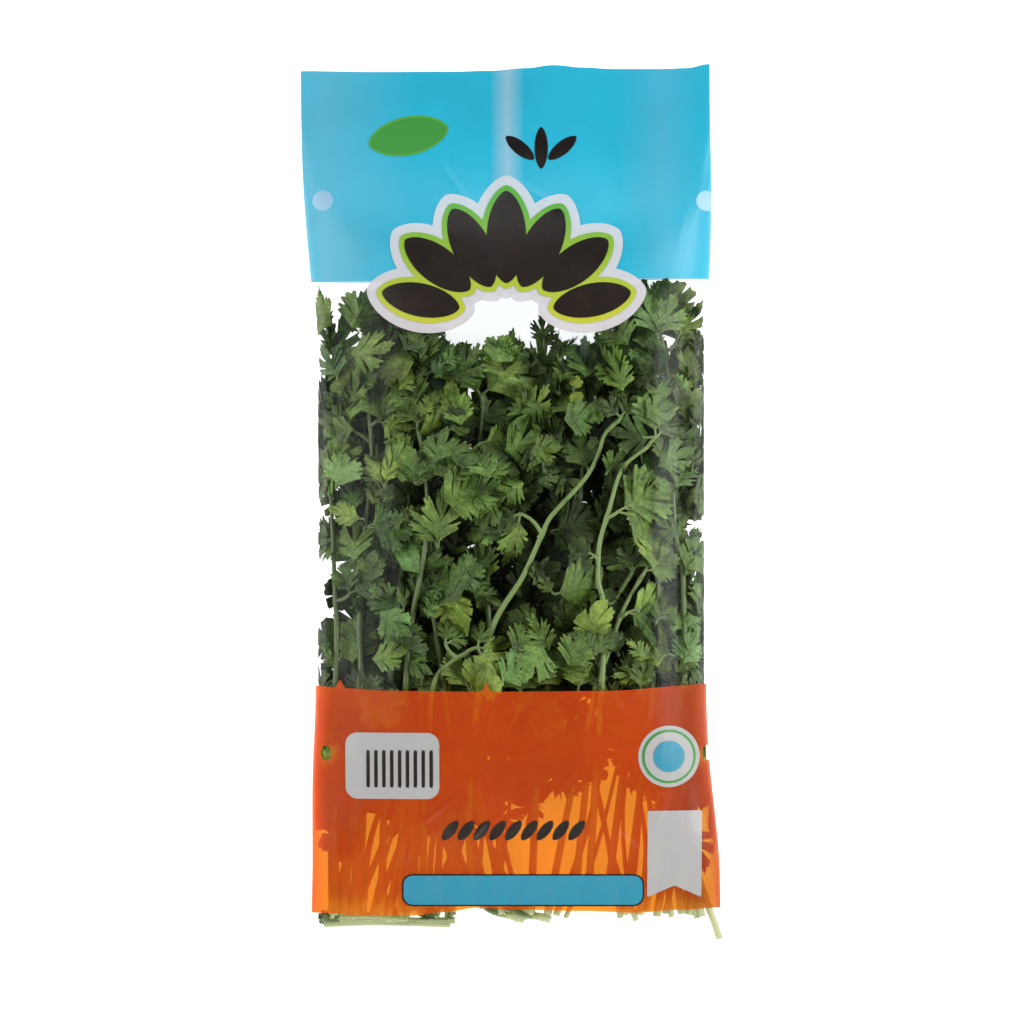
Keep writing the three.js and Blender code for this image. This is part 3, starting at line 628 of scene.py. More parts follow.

# ---- leaves that have come off their sprigs, and the dark heart of the bunch ---------------------------
# Loose leaves lie between the sprigs and show where no sprig covers them. Below them, hundreds more
# leaves fill the sleeve down to its back, coloured darker the deeper they lie as painted shade.

# Joint in X and Y, level, and leaflets as for the sprigs.
LOOSE_LEAVES = [
    (-56.5, 39.5, 7, [(-25, 12.5, 0.45, -0.8, 0.9, 1)]),
    (-58, 28.5, 7, [(-10, 10, 0.45, -0.8, 0.9, 1)]),
    (-60.5, 55, 6, [(-8, 14.5, 0.5, -0.6, 0.55, 1)]),
    (-36, 57.5, 6, [(-50, 11, 0.3, -0.2, 1, 1), (-95, 9, 0.25, 0, 1, 1)]),
    (-43, 50, 6, [(-20, 9, 0.25, 0.1, 1, 1), (30, 8, 0.3, 0.1, 1, 1)]),
    (-32.5, 47.5, 5, [(-10, 8.5, 0.3, 0.2, 1, 1), (30, 7.5, 0.35, 0.1, 1, 1)]),
    (-29.5, 41, 7, [(12, 15, 0.4, 0.3, 0.6, 3), (-8, 16.5, 0.35, 0.3, 0.6, 3),
                    (-35, 10.5, 0.3, 0.3, 0.6, 3)]),
    (-28.5, 41.5, 7, [(62, 12, 0.5, -0.8, 0.55, 1)]),
    (49.5, 47, 6, [(-120, 8.5, 0.4, -0.2, 1, 0)]),
    (27.5, 34.5, 7, [(172, 8, 0.5, -0.3, 1.1, 0)]),
    (-0.5, 19.5, 6, [(10, 11.5, 0.4, 0.3, 0.8, 1)]),
    (11, 9.5, 6, [(-15, 12, 0.4, 0.1, 1, 1)]),
    (25.5, 9.5, 6, [(-15, 12.5, 0.4, 0.1, 0.9, 0)]),
    (31, 8.5, 7, [(35, 9, 0.4, 0, 1, 1)]),
    (50, 9.5, 7, [(25, 12, 0.45, 0.2, 1, 0)]),
    (20.5, 36.5, 6, [(160, 4, 0.8, 0.9, 1, 2), (20, 4.5, 0.7, 0.9, 0.9, 2)]),
    (-47, -8.5, 8, [(62, 14, 0.5, -0.4, 1, 0), (95, 13, 0.45, -0.5, 1, 0)]),
    (-48, -6, 8, [(-80, 11, 0.65, 0.5, 0.7, 0)]),
    (-41.5, 4.5, 8, [(15, 11, 0.75, 0.6, 0.5, 1), (-20, 10, 0.6, 0.4, 0.5, 0)]),
    (-50, -26, 7, [(-80, 8.5, 0.45, -0.1, 1, 0)]),
    (-24, -15.5, 8, [(8, 18, 0.6, 0.2, 0.8, 1), (-22, 13, 0.55, 0.2, 0.8, 1)]),
    (-4.5, 1, 7, [(-120, 13, 0.5, 0.1, 1, 1), (-150, 10, 0.5, 0.1, 0.9, 1), (-88, 10.5, 0.45, 0, 0.9, 0)]),
    (-13.5, -29.5, 6, [(110, 10, 0.55, 0, 0.9, 1)]),
    (-35.5, -36.5, 7, [(8, 9, 0.5, 0, 0.5, 0)]),
    (-49, -61.5, 7, [(25, 10.5, 0.3, -0.5, 1, 0)]),
    (-38.5, -43, 7, [(150, 12.5, 0.35, -0.1, 1, 0), (100, 10, 0.4, 0, 0.8, 0)]),
    (-57.5, -55, 7, [(-30, 9, 0.45, 0.1, 0.6, 3), (-58, 7.5, 0.4, 0.1, 0.6, 3)]),
    (13, -10, 5, [(75, 14.5, 0.25, 0, 1, 0), (120, 9, 0.3, 0, 0.8, 1)]),
    (14, -30.5, 8, [(80, 15.5, 0.52, 0.1, 0.9, 2), (-40, 6.5, 0.5, 0.3, 0.8, 1)]),
    (7.5, -27.5, 7, [(10, 8.5, 0.45, 0, 0.8, 1), (45, 10, 0.3, 0, 0.9, 0)]),
    (9.5, -41.5, 6, [(-100, 11, 0.35, 0.1, 1, 0), (-60, 10, 0.45, 0.2, 0.9, 0)]),
    (11, -59, 7, [(-30, 10.5, 0.6, 0.1, 1, 0)]),
    (22, -62.5, 7, [(5, 10.5, 0.65, 0.3, 0.8, 2)]),
    (47.5, -40.5, 8, [(25, 8.5, 0.5, 0, 0.9, 1)]),
    (-20.5, 5.5, 8, [(30, 10, 0.5, 0.1, 0.9, 1), (-10, 10.5, 0.5, 0.1, 0.9, 0)]),
    (-8, 7, 8, [(-20, 9, 0.5, 0, 0.9, 0), (50, 8.5, 0.55, 0, 0.8, 1)]),
    (-43, 4.5, 7, [(-28, 10.5, 0.5, 0.1, 0.8, 1)]),
    (-31.5, 5.5, 8, [(0, 10.5, 0.5, -0.3, 0.9, 0), (40, 8, 0.45, -0.1, 0.8, 1)]),
    (-15, 17.5, 6, [(-95, 13, 0.4, -0.7, 0.8, 0)]),
    (35.5, -51, 7, [(-20, 8, 0.35, 0.1, 0.9, 0)]),
    (42.5, -62.5, 7, [(10, 10, 0.45, 0.2, 0.9, 1)]),
    (29.5, -62.5, 7, [(-15, 8.5, 0.4, 0.1, 0.9, 1)]),
    (3, -62.5, 7, [(-35, 10, 0.5, 0.1, 0.9, 0), (30, 8.5, 0.4, 0.1, 0.9, 0)]),
    (-13.5, -62.5, 7, [(-20, 13, 0.55, 0.4, 0.9, 2), (25, 11, 0.6, 0.4, 0.8, 2)]),
    (-22, -62.5, 7, [(-60, 9, 0.4, 0.1, 0.8, 0)]),
    (59, 26.5, 6, [(0, 10, 0.35, 0.1, 0.9, 0), (60, 7.5, 0.3, 0.2, 0.8, 1)]),
    (59.5, 10, 6, [(10, 10, 0.35, 0.1, 0.9, 1)]),
    (60.5, -6.5, 6, [(-10, 10, 0.35, 0.1, 0.9, 0), (50, 6.5, 0.3, 0.2, 0.8, 1)]),
    (59.5, -23, 6, [(15, 8.5, 0.35, 0.2, 0.9, 1)]),
    (61, -39.5, 6, [(-5, 8.5, 0.35, 0.1, 0.9, 0)]),
    (60.5, -52.5, 6, [(0, 8.5, 0.35, 0.1, 0.9, 1)]),
    (60.5, -62.5, 6, [(10, 8, 0.35, 0.2, 0.9, 0)]),
    (61.5, 48, 6, [(5, 10.5, 0.35, 0.4, 0.8, 1)]),
    (59, 38.5, 6, [(10, 11, 0.4, 0.4, 0.8, 0)]),
    (11, 50, 5, [(-5, 11, 0.3, 0.2, 0.8, 1), (30, 8, 0.35, 0.4, 0.8, 1)]),
    (-2, 42.5, 6, [(-25, 11, 0.5, -0.5, 0.8, 0), (10, 12.5, 0.5, -0.2, 0.8, 1)]),
    (-17.5, 42.5, 5, [(-20, 10, 0.45, -0.6, 0.7, 1), (20, 9, 0.45, -0.6, 0.7, 1)]),
    (29.5, 40, 5, [(-40, 11, 0.3, -0.1, 1, 0), (5, 10.5, 0.3, 0, 1, 1), (50, 9, 0.35, 0, 0.9, 0)]),
    (16, 35, 5, [(-50, 11, 0.35, 0.1, 0.9, 0), (-5, 10, 0.35, 0.1, 0.9, 1)]),
    (42.5, 33.5, 5, [(-20, 10.5, 0.35, -0.1, 0.9, 0), (30, 9, 0.4, -0.1, 0.9, 1)]),
    (-29.5, 47, 8, [(18, 13, 0.4, 0, 0.75, 3), (-14, 12.5, 0.35, 0, 0.7, 3)]),
    (-23.5, 44, 8, [(48, 11, 0.5, -0.6, 0.8, 3), (14, 10.5, 0.45, -0.6, 0.8, 3)]),
    (16, 46, 6, [(-20, 8.5, 0.3, 0.5, 0.8, 3), (25, 9, 0.35, 0.3, 0.8, 3)]),
    (48, 54, 8, [(-12, 13, 0.6, -0.5, 1, 1), (24, 13.5, 0.6, 0, 1, 1)]),
    (44, 58, 7, [(-50, 11, 0.5, -0.7, 0.9, 1)]),
    (-60, -139, 6, [(-70, 4.5, 0.3, 0.3, 1, 2), (20, 4, 0.35, 0.5, 1, 1), (95, 4, 0.3, 0.3, 1, 1)]),
    (-38, -138.6, 6, [(15, 4.2, 0.5, 0.2, 1, 1)]),
    (-28, -139, 6, [(-30, 4, 0.45, 0.3, 1, 1), (30, 4.6, 0.4, 0.2, 1, 0)]),
    (-22, -139, 6, [(50, 4, 0.5, 0.2, 1, 1)]),
    (27.5, -50.5, 8.4, [(4, 12.5, 0.5, 0, 0.9, 1), (-38, 9, 0.45, 0, 0.9, 0), (42, 8, 0.4, 0, 0.9, 1)]),
    # These two, seen through the foot's vent holes, are coloured bright as a painted highlight.
    (-61, -90, 7, [(2, 14, 0.85, 0.1, 0.9, 2)]),
    (63.5, -90, 7, [(4, 13, 0.8, 0.1, 0.9, 2)]),
    (-62.5, -66, 5, [(-10, 12, 0.35, 0, 0.9, 1), (60, 9, 0.3, 0, 0.9, 1)]),
    (-61.5, -76, 4, [(-15, 12, 0.3, 0, 1, 0)]),
    (-16, -18, 2, [(5, 17, 0.22, 0, 1, 2)]),
    (7, -37, 2, [(-3, 15, 0.22, 0, 1, 2), (-35, 14, 0.2, 0, 1, 2)]),
    (-28, -62, 2, [(3, 15, 0.22, 0, 1, 2)]),
    (37, 14, 2, [(0, 12, 0.25, 0, 1, 2)]),
    (60.5, -79, 4, [(6, 14, 0.3, 0, 1, 2), (-30, 12, 0.3, 0, 0.9, 0)]),
    (60, -70, 5, [(4, 12, 0.3, 0, 1, 2), (-60, 10, 0.3, 0, 0.9, 0), (60, 8, 0.3, 0, 0.9, 0)]),
]
loose = Parts()
rng = np.random.default_rng(7)
for x, y, layer, blades in LOOSE_LEAVES:
    add_leaf(loose, rng, None, (x, y), layer, blades, 0.4, 0.2, 0.9)
loose.make("loose_leaves", [stem_skin, leaf_blade])

# Outline of the filling, level with the back film, as (x, y): its ragged left and right sides and its top.
FILLED = np.array([(-60, 52), (-61, 30), (-60, 8), (-57, 0), (-56, -10), (-54, -18), (-51, -28), (-49, -38),
                   (-53, -47), (-55, -62), (-69, -72), (-69, -106), (-50, -106), (-30, -100), (-12, -104),
                   (2, -100), (14, -97), (21, -90), (30, -82), (40, -86), (48, -95), (56, -104), (69, -106),
                   (69, -58), (64, -30), (62, -12), (64, 4), (63, 22), (62, 42), (62, 54), (57, 62), (52, 66),
                   (44, 66), (38, 60), (36, 48), (28, 42), (20, 46), (8, 44), (-2, 50), (-12, 48), (-24, 46),
                   (-31, 54), (-37, 62), (-44, 64), (-48, 60), (-56, 60), (-60, 68)], float)


def inside(points, outline):
    """True for each point with an odd number of the outline's edges to its right."""
    x, y = points[:, :1], points[:, 1:]
    (x0, y0), (x1, y1) = outline.T, np.roll(outline, -1, 0).T
    crosses = (y0 > y) != (y1 > y)
    rise = np.where(y1 == y0, 1, y1 - y0)
    return (crosses & (x < x0 + (y - y0) * (x1 - x0) / rise)).sum(1) % 2 == 1


def scattered(rng, spacing, outline):
    """Points of a grid of that spacing, each moved at random by half a cell, that lie in the outline."""
    low, high = outline.min(0), outline.max(0)
    x, y = np.meshgrid(np.arange(low[0], high[0], spacing), np.arange(low[1], high[1], spacing))
    points = np.column_stack([x.ravel(), y.ravel()]) + rng.uniform(-0.5, 0.5, (x.size, 2)) * spacing
    return points[inside(points, outline)]


# Dark hollows between the sprigs, where only the deepest leaves are seen, as (x, y, radius).
HOLLOWS = np.array([(12, -19, 9), (17, -32, 5), (-12, -15, 6.5), (-7, 27, 6), (20, 11, 4), (44, -38, 5),
                    (-23, -33, 4), (2, -22, 5), (36, -12, 4), (-55, -5, 3), (32, 33, 4)])


def clear_of_hollows(points):
    """True for each point that's outside every hollow."""
    away = np.linalg.norm(points[:, None] - HOLLOWS[:, :2], axis=2)
    return (away > HOLLOWS[:, 2]).all(1)


def clear_of_stems(points, sprigs, gap):
    """True for each point that's further than the gap from the middle lines of those sprigs' stems."""
    stems = [SPRIGS[i] for i in sprigs]
    lines = np.vstack([through([(stem["foot"], FOOT_Y), *stem["way"]], ROUTE_POINTS) for stem in stems])
    return np.linalg.norm(points[:, None] - lines, axis=2).min(1) > gap


BELOW = (0, 4)  # a leaf is rooted this far below its place in the grid
BARE_STEMS = (0, 1, 2, 8)  # sprigs whose stems lie in front of all the leaves

# Each level's tone is painted shade: the deeper the level, the darker its leaves.
for name, level, spacing, reach, tone, lively, build, seed in (
    ("leaves_at_back", 0.4, 8.0, 17, 0.06, 0.5, COARSE, 21),
    ("leaves_low", 2.0, 8.5, 17, 0.13, 1.0, COARSE, 22),
    ("leaves_in_middle", 4.0, 9.0, 16, 0.30, 1.3, COARSE, 23),
    ("leaves_high", 5.8, 10.0, 15.5, 0.46, 1.1, PLAIN, 24),
    ("leaves_at_front", 8.0, 12.5, 15.0, 0.55, 0.9, FINE, 25),
):
    rng = np.random.default_rng(seed)
    # They thin out at the top, leave the hollows free above level 3, and stay off the foot at the front.
    places = scattered(rng, spacing, FILLED)
    places = places[(places[:, 1] < 36) | (rng.random(len(places)) < 0.72)]
    if level > 3:
        places = places[clear_of_hollows(places)]
    if level > 7:
        places = places[places[:, 1] > -66]
    headings = rng.normal(0, 70, len(places))
    reaches = rng.uniform(0.7, 1.15, len(places)) * reach
    if level > 5:
        middles = places - BELOW + heading_of(headings) * reaches[:, None] * 0.55
        clear = clear_of_stems(middles, BARE_STEMS, 0.55 * reaches)
        places, headings, reaches = places[clear], headings[clear], reaches[clear]
    n = len(places)
    x, y = places.T
    # Painted shade: darker under the foot. Painted light: no duller than 0.4 where they show at the top and
    # along the sides.
    tones = (tone + rng.uniform(-0.12, 0.15, n)) * (0.3 + 0.7 * smooth(y, -74, -60))
    painted_lift = np.maximum(smooth(y, 30, 46), smooth(np.abs(x), 50, 58) * (y > -62))
    tones += np.maximum(0.4 - tones, 0) * painted_lift
    levels, hues = level + rng.uniform(-0.5, 0.5, n), rng.normal(0.02, 0.3, n)
    widths, edges = rng.uniform(0.85, 1.15, n), rng.choice([0, 1, 1, 2, 3], n)
    under = Parts()
    leaflets(under, rng, places - BELOW, headings, reaches, levels, tones, hues, widths, edges, lively, build)
    under.make(name, [stem_skin, leaf_blade])

# ---- the other stems -----------------------------------------------------------------------------------
# Some sixty more stems fill the foot of the sleeve, leaning every way, and show through its orange print.

spare = Parts()
rng = np.random.default_rng(31)
# Each lot's cut ends lie evenly between two places. It leans so far on its way up, and the last two numbers
# are the heights where it bends and where it was cut.
for start, end, count, lean, bend, cut in (
    (-60, -20, 26, 12, -108, FOOT_Y), (-2.5, 12.5, 10, -34, -127, FOOT_Y), (15, 17.5, 2, 20, -108, FOOT_Y),
    (36.8, 43.2, 5, -8, -108, FOOT_Y), (45.5, 53, 4, 6, -108, FOOT_Y), (56, 63, 5, -3, -108, FOOT_Y),
    (-20, -4, 7, -6, -108, -133),
):
    for foot in np.linspace(start, end, count) + rng.uniform(-0.6, 0.6, count):
        reach = np.clip(foot + rng.normal(lean, 11), -58, 58)
        way = [(foot + 0.4 * (reach - foot) + rng.normal(0, 2),
                bend + rng.uniform(-0.25, 0.25) * (bend - FOOT_Y)),
               (reach, rng.uniform(-84, -50))]
        route = stem_route(foot, way, rng.uniform(0.5, 7.5), cut)
        route[:, 1] += rng.uniform(-2.2, 1.5) * np.linspace(1, 0, len(route))
        radius = rng.uniform(0.6, 1.05) * np.linspace(FOOT_RADIUS, TIP_RADIUS, len(route))
        points, faces, uv = tube(route, radius, 8)
        spare.add(points, faces, uv, pale_end(uv, rng.uniform(0.15, 0.5)), rng.uniform(0, 0.5))
# At the lower left some stems have slipped sideways and lie along the end of the sleeve, one curled up.
for left, right, level, rise in ((-62, -20, -139.8, 0.4), (-60, -34, -138.0, 0.6), (-46, -18.5, -138.6, -0.5),
                                 (-57, -26, -138.9, 0.2)):
    plan = through([(left, level), (0.6 * left + 0.4 * right, level + rise), (right, level - 0.3)], 60)
    route = np.column_stack([plan, layer_height(plan[:, 0], plan[:, 1], 4 + rise, FOOT_RADIUS)])
    spare.add(*tube(route, np.linspace(1.3, 1.1, 60), 12, ribs=0.05), 0.88, 0.5)
plan = through([(-62.5, -137.6), (-59.5, -138.6), (-57.5, -137.4), (-58.5, -135.8)], 30)
route = np.column_stack([plan, layer_height(plan[:, 0], plan[:, 1], 6, FOOT_RADIUS)])
spare.add(*tube(route, np.linspace(1.3, 1.5, 30), 12, ribs=0.05), 0.35, 0.5)
spare.make("more_stems", [stem_skin])

# ---- the stem that has pushed out ----------------------------------------------------------------------
# One stem has torn its way through the lower right corner of the film, and its cut end lies outside.

STRAY = [(52, -96, 4.5), (60.5, -120, 3.4), (65, -133, 3), (67.2, -139, 2.9), (69.1, -144.9, 2.8)]
route = through(STRAY, 60)
stray = Parts()
stray.add(*tube(route, np.linspace(1.35, 1.15, len(route)), 15, ribs=0.06), 1.0, 0.5)
stray.make("stray_stem", [stem_skin], ["stem_stray"])

# ---- the film ------------------------------------------------------------------------------------------
# The web is printed on its inside: a cyan header, a clear window, and a translucent orange foot, with a
# clear margin below. It's lap sealed down its back, welded at both ends, and punched with four vent holes.

# Each vent hole's middle, half width and half height. The foot's two are drawn narrow by the creased film.
VENTS = np.array([(-62.2, 99.3, 3.4, 3.4), (64.6, 99.3, 3.4, 3.4), (-61, -83, 1.7, 2.5),
                  (64.9, -83, 1.7, 2.5)])
RIM_REACH = 0.45  # points this near a hole's rim move on to it
AROUND = 400  # points round the sleeve
FIRST_HALF_WIDTH = 66  # where the steps that place each point start
MAP_PER_RADIAN = 22  # of the surface map, for each radian round the sleeve
FOLD_TO_MIDDLE = 0.3456  # in the finished map, from a fold to the middle of the front
# Where the web is cut or its print changes, as (x, y).
TOP_EDGE = [(-69, 142.6), (-45, 142.3), (-20, 142.4), (-7, 142.7), (5, 143.6), (14, 144.6), (24, 143.8),
            (34, 143.3), (50, 143.3), (58, 143.6), (66, 145)]
HEADER_EDGE = [(-66, 72.3), (0, 72.8), (66, 73.4)]
FOOT_EDGE = [(-64, -61), (-58, -61.3), (-56.2, -58.8), (-54.4, -61.5), (-40, -62.2), (-9.6, -62.4),
             (-8.1, -59.2), (-6.8, -62.4), (0, -62.4), (30, -62.2), (65, -60.3)]
MARGIN_EDGE = [(-65, -136.3), (-50, -137), (-33, -137.2), (-22, -136), (-11, -134.6), (2, -135.2),
               (23, -135.7), (42, -136.2), (55, -135.3), (68, -134.6)]
BOTTOM_EDGE = [(-65, -141), (70, -141)]

# Sharp creases, as (x, y) of both ends, width and height: one along the right of the window, eight in the
# foot, and more of them at random in the header, the window and the foot.
CREASES = [(54.5, 42, 55, -64, 1.4, 0.45), (-34.7, -107, -37, -118, 1.1, 0.7),
           (-32.7, -113, -34, -119, 0.9, 0.6), (-45, -121, -49, -130, 0.8, 0.6),
           (-51.3, -122, -52.1, -130, 0.9, 0.6), (34, -105, 43, -114, 1.2, 0.8),
           (41.7, -101, 42, -109, 0.9, 0.7), (-60, -98, -57, -112, 1.3, 0.6), (-20, -98, -29, -106, 0.9, 0.6)]
rng = np.random.default_rng(5)
for low, high, count in ((84, 134, 16), (-60, 60, 20), (-128, -66, 26)):
    ends = np.column_stack([rng.uniform(-58, 58, count), rng.uniform(low, high, count)])
    turn, length = rng.normal(0.2, 0.6, count), rng.uniform(6, 20, count)
    tips = ends + length[:, None] * np.stack([np.sin(turn), np.cos(turn)], 1)
    width, height = rng.uniform(0.7, 1.3, count), rng.uniform(0.12, 0.3, count)
    CREASES += np.column_stack([ends, tips, width, height]).tolist()


def creased(x, y):
    """Sum over the creases of height · exp(-(distance to the crease / width)²), less at a crease's ends."""
    total = np.zeros(np.shape(x))
    for x0, y0, x1, y1, width, height in CREASES:
        t = np.clip(((x - x0) * (x1 - x0) + (y - y0) * (y1 - y0)) / ((x1 - x0) ** 2 + (y1 - y0) ** 2), 0, 1)
        away = np.hypot(x - x0 - t * (x1 - x0), y - y0 - t * (y1 - y0))
        total += height * np.exp(-((away / width) ** 2)) * (0.4 + 0.6 * np.sin(np.pi * t))
    return total


def ripple(x, y):
    """How far the front film stands off its smooth shape: a soft fold down the header, creases that run up
    from the foot, sharp creases, and a slow unevenness everywhere. It dies out at the side folds and the
    welds."""
    across = np.clip(np.abs(x - middle_at(y)) / half_width_at(y), 0, 1)
    calm = (1 - across**6) * smooth(height_at(y), 1, 6)
    slow = 0.22 * np.sin(x / 9.1 + 0.7 * np.sin(y / 17)) * np.sin(y / 13.3 + 0.6 * np.sin(x / 11))
    fold = 0.55 * np.exp(-((x + 1 + 0.03 * (y - 100)) / 4.5) ** 2) * smooth(y, 66, 84)
    fold += 0.3 * np.exp(-((x - 49 - 0.05 * (y - 100)) / 6) ** 2) * smooth(y, 70, 90)
    foot = 1 - smooth(y, -100, -66)
    crease = 0.3 * np.abs(np.sin(x / 6.3 + 0.02 * y + np.sin(y / 23))) ** 3
    crease += 0.25 * np.abs(np.sin(x / 3.7 - 0.05 * y + 1.3)) ** 6
    return calm * (slow + fold + creased(x, y) - foot * crease)


def along_edge(edge, x):
    """Height of an edge at x, with its corners eased by a cosine between its points."""
    xs, ys = np.array(edge, float).T
    i = np.clip(np.searchsorted(xs, x) - 1, 0, len(xs) - 2)
    t = np.clip((x - xs[i]) / (xs[i + 1] - xs[i]), 0, 1)
    return ys[i] + (ys[i + 1] - ys[i]) * (1 - np.cos(np.pi * t)) / 2


def sleeve_zone(lower, upper, rows):
    """A tube between two edges of the web: the front from the left fold to the right, then the back to the
    left fold again. Returns points, quads, uv as the distance round and along the web, and which quads are
    at the back."""
    turn = np.linspace(0, 2 * np.pi, AROUND, endpoint=False)
    across = -np.cos(turn)
    front = turn < np.pi - 1e-6
    t = np.linspace(0, 1, rows)[:, None]
    x = FIRST_HALF_WIDTH * across
    for _ in range(3):  # the edges slant, so x and y settle step by step
        y = along_edge(lower, x) * (1 - t) + along_edge(upper, x) * t
        x = middle_at(y) + across * half_width_at(y)
    z = np.where(front, front_at(x, y) + ripple(x, y), back_at(x, y))
    faces = grid_faces(rows, AROUND, ring=True)
    at_back = ~front[faces[:, 0] % AROUND]
    uv = np.stack([np.broadcast_to(turn * MAP_PER_RADIAN, x.shape), y], -1) / 100
    return np.stack([x, y, z], -1).reshape(-1, 3), faces, uv.reshape(-1, 2), at_back


def punched(points, faces, may_go, vents):
    """Cuts oval holes: points near a hole's rim move on to it, and of the quads inside it those that may go
    are taken out. Returns points, the quads that are left, and which have gone."""
    points = points.copy()
    gone = np.zeros(len(faces), bool)
    for vent in vents:
        centre, half_sizes = vent[:2], vent[2:]
        away = (points[:, :2] - centre) / half_sizes
        far = np.linalg.norm(away, axis=1)
        near = np.abs(far - 1) < RIM_REACH / half_sizes.mean()
        points[near, :2] = centre + away[near] / far[near, None] * half_sizes
        far[near] = 1
        gone |= (far[faces] <= 1 + 1e-6).all(1) & may_go
    return points, faces[~gone], gone


def film_gloss(r, strength):
    """Fine crackle of stiff thin film, stretched along the sleeve, as a normal."""
    place = r.mapping(r.coordinates("Object"), (1, 0.35, 1))
    return r.bump(r.noise(place, 60.0, detail=3, distortion=0.6), strength, 0.002)


def clear_material():
    """Clear film: almost nothing but a reflection that grows towards grazing angles."""
    r = Recipe("clear_film")
    normal = film_gloss(r, 0.25)
    shine = r.principled(Base_Color=(0.95, 0.97, 0.97, 1), Metallic=1.0, Roughness=0.16, Normal=normal)
    bare = r.see_through((0.985, 0.99, 0.985, 1))
    rim = r.node("ShaderNodeFresnel", IOR=1.3, Normal=normal).outputs[0]
    return r.finish(r.blend(r.remap(rim, 0.06, 0.5, 0.005, 0.03), bare, shine))


def darker(colour, share):
    """The colour with its red, green and blue cut to that share."""
    return tuple(share * c for c in colour[:3]) + (1,)


def cyan_material(name, colour, cover):
    """Cyan ink on film, nearly opaque, a little uneven, and painted paler along three lengthwise bands as a
    painted sheen, each by its x, its half width and its strength."""
    r = Recipe(name)
    cloud = r.noise(r.coordinates("Object"), 28.0, detail=3)
    ink = r.mix(r.remap(cloud, 0.35, 0.65), colour, darker(colour, 0.88))
    across = r.split(r.coordinates("Object"))[0]
    # Painted sheen: the ink is mixed paler along three lengthwise bands, standing in for glare on the film.
    for place, spread, strength in ((-0.0013, 0.0055, 0.33), (0.050, 0.014, 0.06), (-0.062, 0.03, 0.10)):
        away = r.math("ABSOLUTE", r.math("ADD", across, -place))
        ink = r.mix(r.remap(away, spread, 0.0, 0.0, strength), ink, (0.5, 0.42, 0.42, 1))
    shine = r.principled(Base_Color=ink, Roughness=0.36, Specular_IOR_Level=0.25, Normal=film_gloss(r, 0.3))
    bare = r.see_through((0.6, 0.85, 1, 1))
    return r.finish(r.blend(cover, bare, shine))


def orange_material(name, ink, stain, cover):
    """Orange ink on film: it glows where light comes through it, and turns brick red over the stems. A part
    of that light is scattered, which blurs what lies behind. Along its folds it is crumpled and lets little
    through, and towards the right fold its colour is darkened as painted shade."""
    r = Recipe(name)
    cloud = r.noise(r.coordinates("Object"), 40.0, detail=3)
    colour = r.mix(r.remap(cloud, 0.35, 0.65), ink, darker(ink, 0.86))
    across = r.split(r.coordinates("Object"))[0]
    # Painted shade: the colour is darkened towards the right fold.
    colour = r.mix(r.remap(across, 0.046, 0.066, 0.0, 0.6), colour, (0.2, 0.035, 0.02, 1))
    shine = r.principled(Base_Color=colour, Roughness=0.3, Specular_IOR_Level=0.12, Normal=film_gloss(r, 0.4))
    bare = r.see_through(stain)
    glow = r.node("ShaderNodeBsdfTranslucent", Color=(0.95, 0.27, 0.04, 1)).outputs[0]
    from_fold = r.math("PINGPONG", r.split(r.coordinates("UV"))[0], FOLD_TO_MIDDLE)
    thick = r.remap(from_fold, 0.0, 0.09, 0.9, cover)
    return r.finish(r.blend(thick, r.blend(0.3, bare, glow), shine))


clear_film = clear_material()
cyan_front = cyan_material("cyan_print", (0.008, 0.30, 0.43, 1), 0.94)
cyan_back = cyan_material("cyan_print_back", (0.16, 0.42, 0.58, 1), 0.5)
orange_front = orange_material("orange_print", (0.76, 0.08, 0.012, 1), (0.97, 0.91, 0.27, 1), 0.4)
orange_back = orange_material("orange_print_back", (0.80, 0.17, 0.022, 1), (0.97, 0.92, 0.30, 1), 0.3)

# The header's holes are cut in its front film only, and the foot's in both films.
for name, lower, upper, rows, finishes, vents, front_only in (
    ("film_header", HEADER_EDGE, TOP_EDGE, 96, (cyan_front, cyan_back), VENTS[:2], True),
    ("film_window", FOOT_EDGE, HEADER_EDGE, 120, (clear_film,), (), False),
    ("film_foot", MARGIN_EDGE, FOOT_EDGE, 100, (orange_front, orange_back), VENTS[2:], False),
    ("film_margin", BOTTOM_EDGE, MARGIN_EDGE, 10, (clear_film,), (), False),
):
    points, faces, uv, at_back = sleeve_zone(lower, upper, rows)
    points, kept, gone = punched(points, faces, ~(at_back & front_only), vents)
    kinds = at_back[~gone].astype(int) * (len(finishes) - 1)
    make_piece(name, points, kept[:, ::-1], finishes, ["film_sleeve"], uv, kinds=kinds)

# ---- the lap seal --------------------------------------------------------------------------------------
# The two edges of the web overlap by 8 mm down the middle of the back and are sealed together inside. The
# sealing bar leaves low ribs across the lap.

SEAL_HEIGHT = 0.55
RIB_HEIGHT = 0.04

x, y = np.meshgrid(np.linspace(-4, 4, 9), np.linspace(-134, 113, 120))
z = SEAL_HEIGHT + RIB_HEIGHT * np.cos(y * 2.2)
seam = np.stack([x, y, z], -1).reshape(-1, 3)
make_piece("lap_seal", seam, grid_faces(120, 9), [clear_film], ["back_seam"],
           np.stack([x, y], -1).reshape(-1, 2) / 100)

# ---- the printed badge ---------------------------------------------------------------------------------
# A plain device printed across the lower edge of the header: a fan of seven dark leaves, each with a green
# and yellow rim on a whitish ground.

INK_RISE = 0.14  # above the film, so that the inks lie over each other in order


def printed(name, outline, centre, level, material, rings=8):
    """A flat print with a star-shaped outline: rings at equal shares of the way from its centre to the
    outline, laid on the front film."""
    share = np.linspace(0, 1, rings)[:, None, None]
    plan = np.asarray(centre, float) + (outline - centre) * share
    x, y = plan[..., 0], plan[..., 1]
    z = front_at(x, y) + ripple(x, y) + INK_RISE * level
    points = np.stack([x, y, z], -1).reshape(-1, 3)
    make_piece(name, points, grid_faces(rings, len(outline), ring=True), [material],
               uv=plan.reshape(-1, 2) / 100)


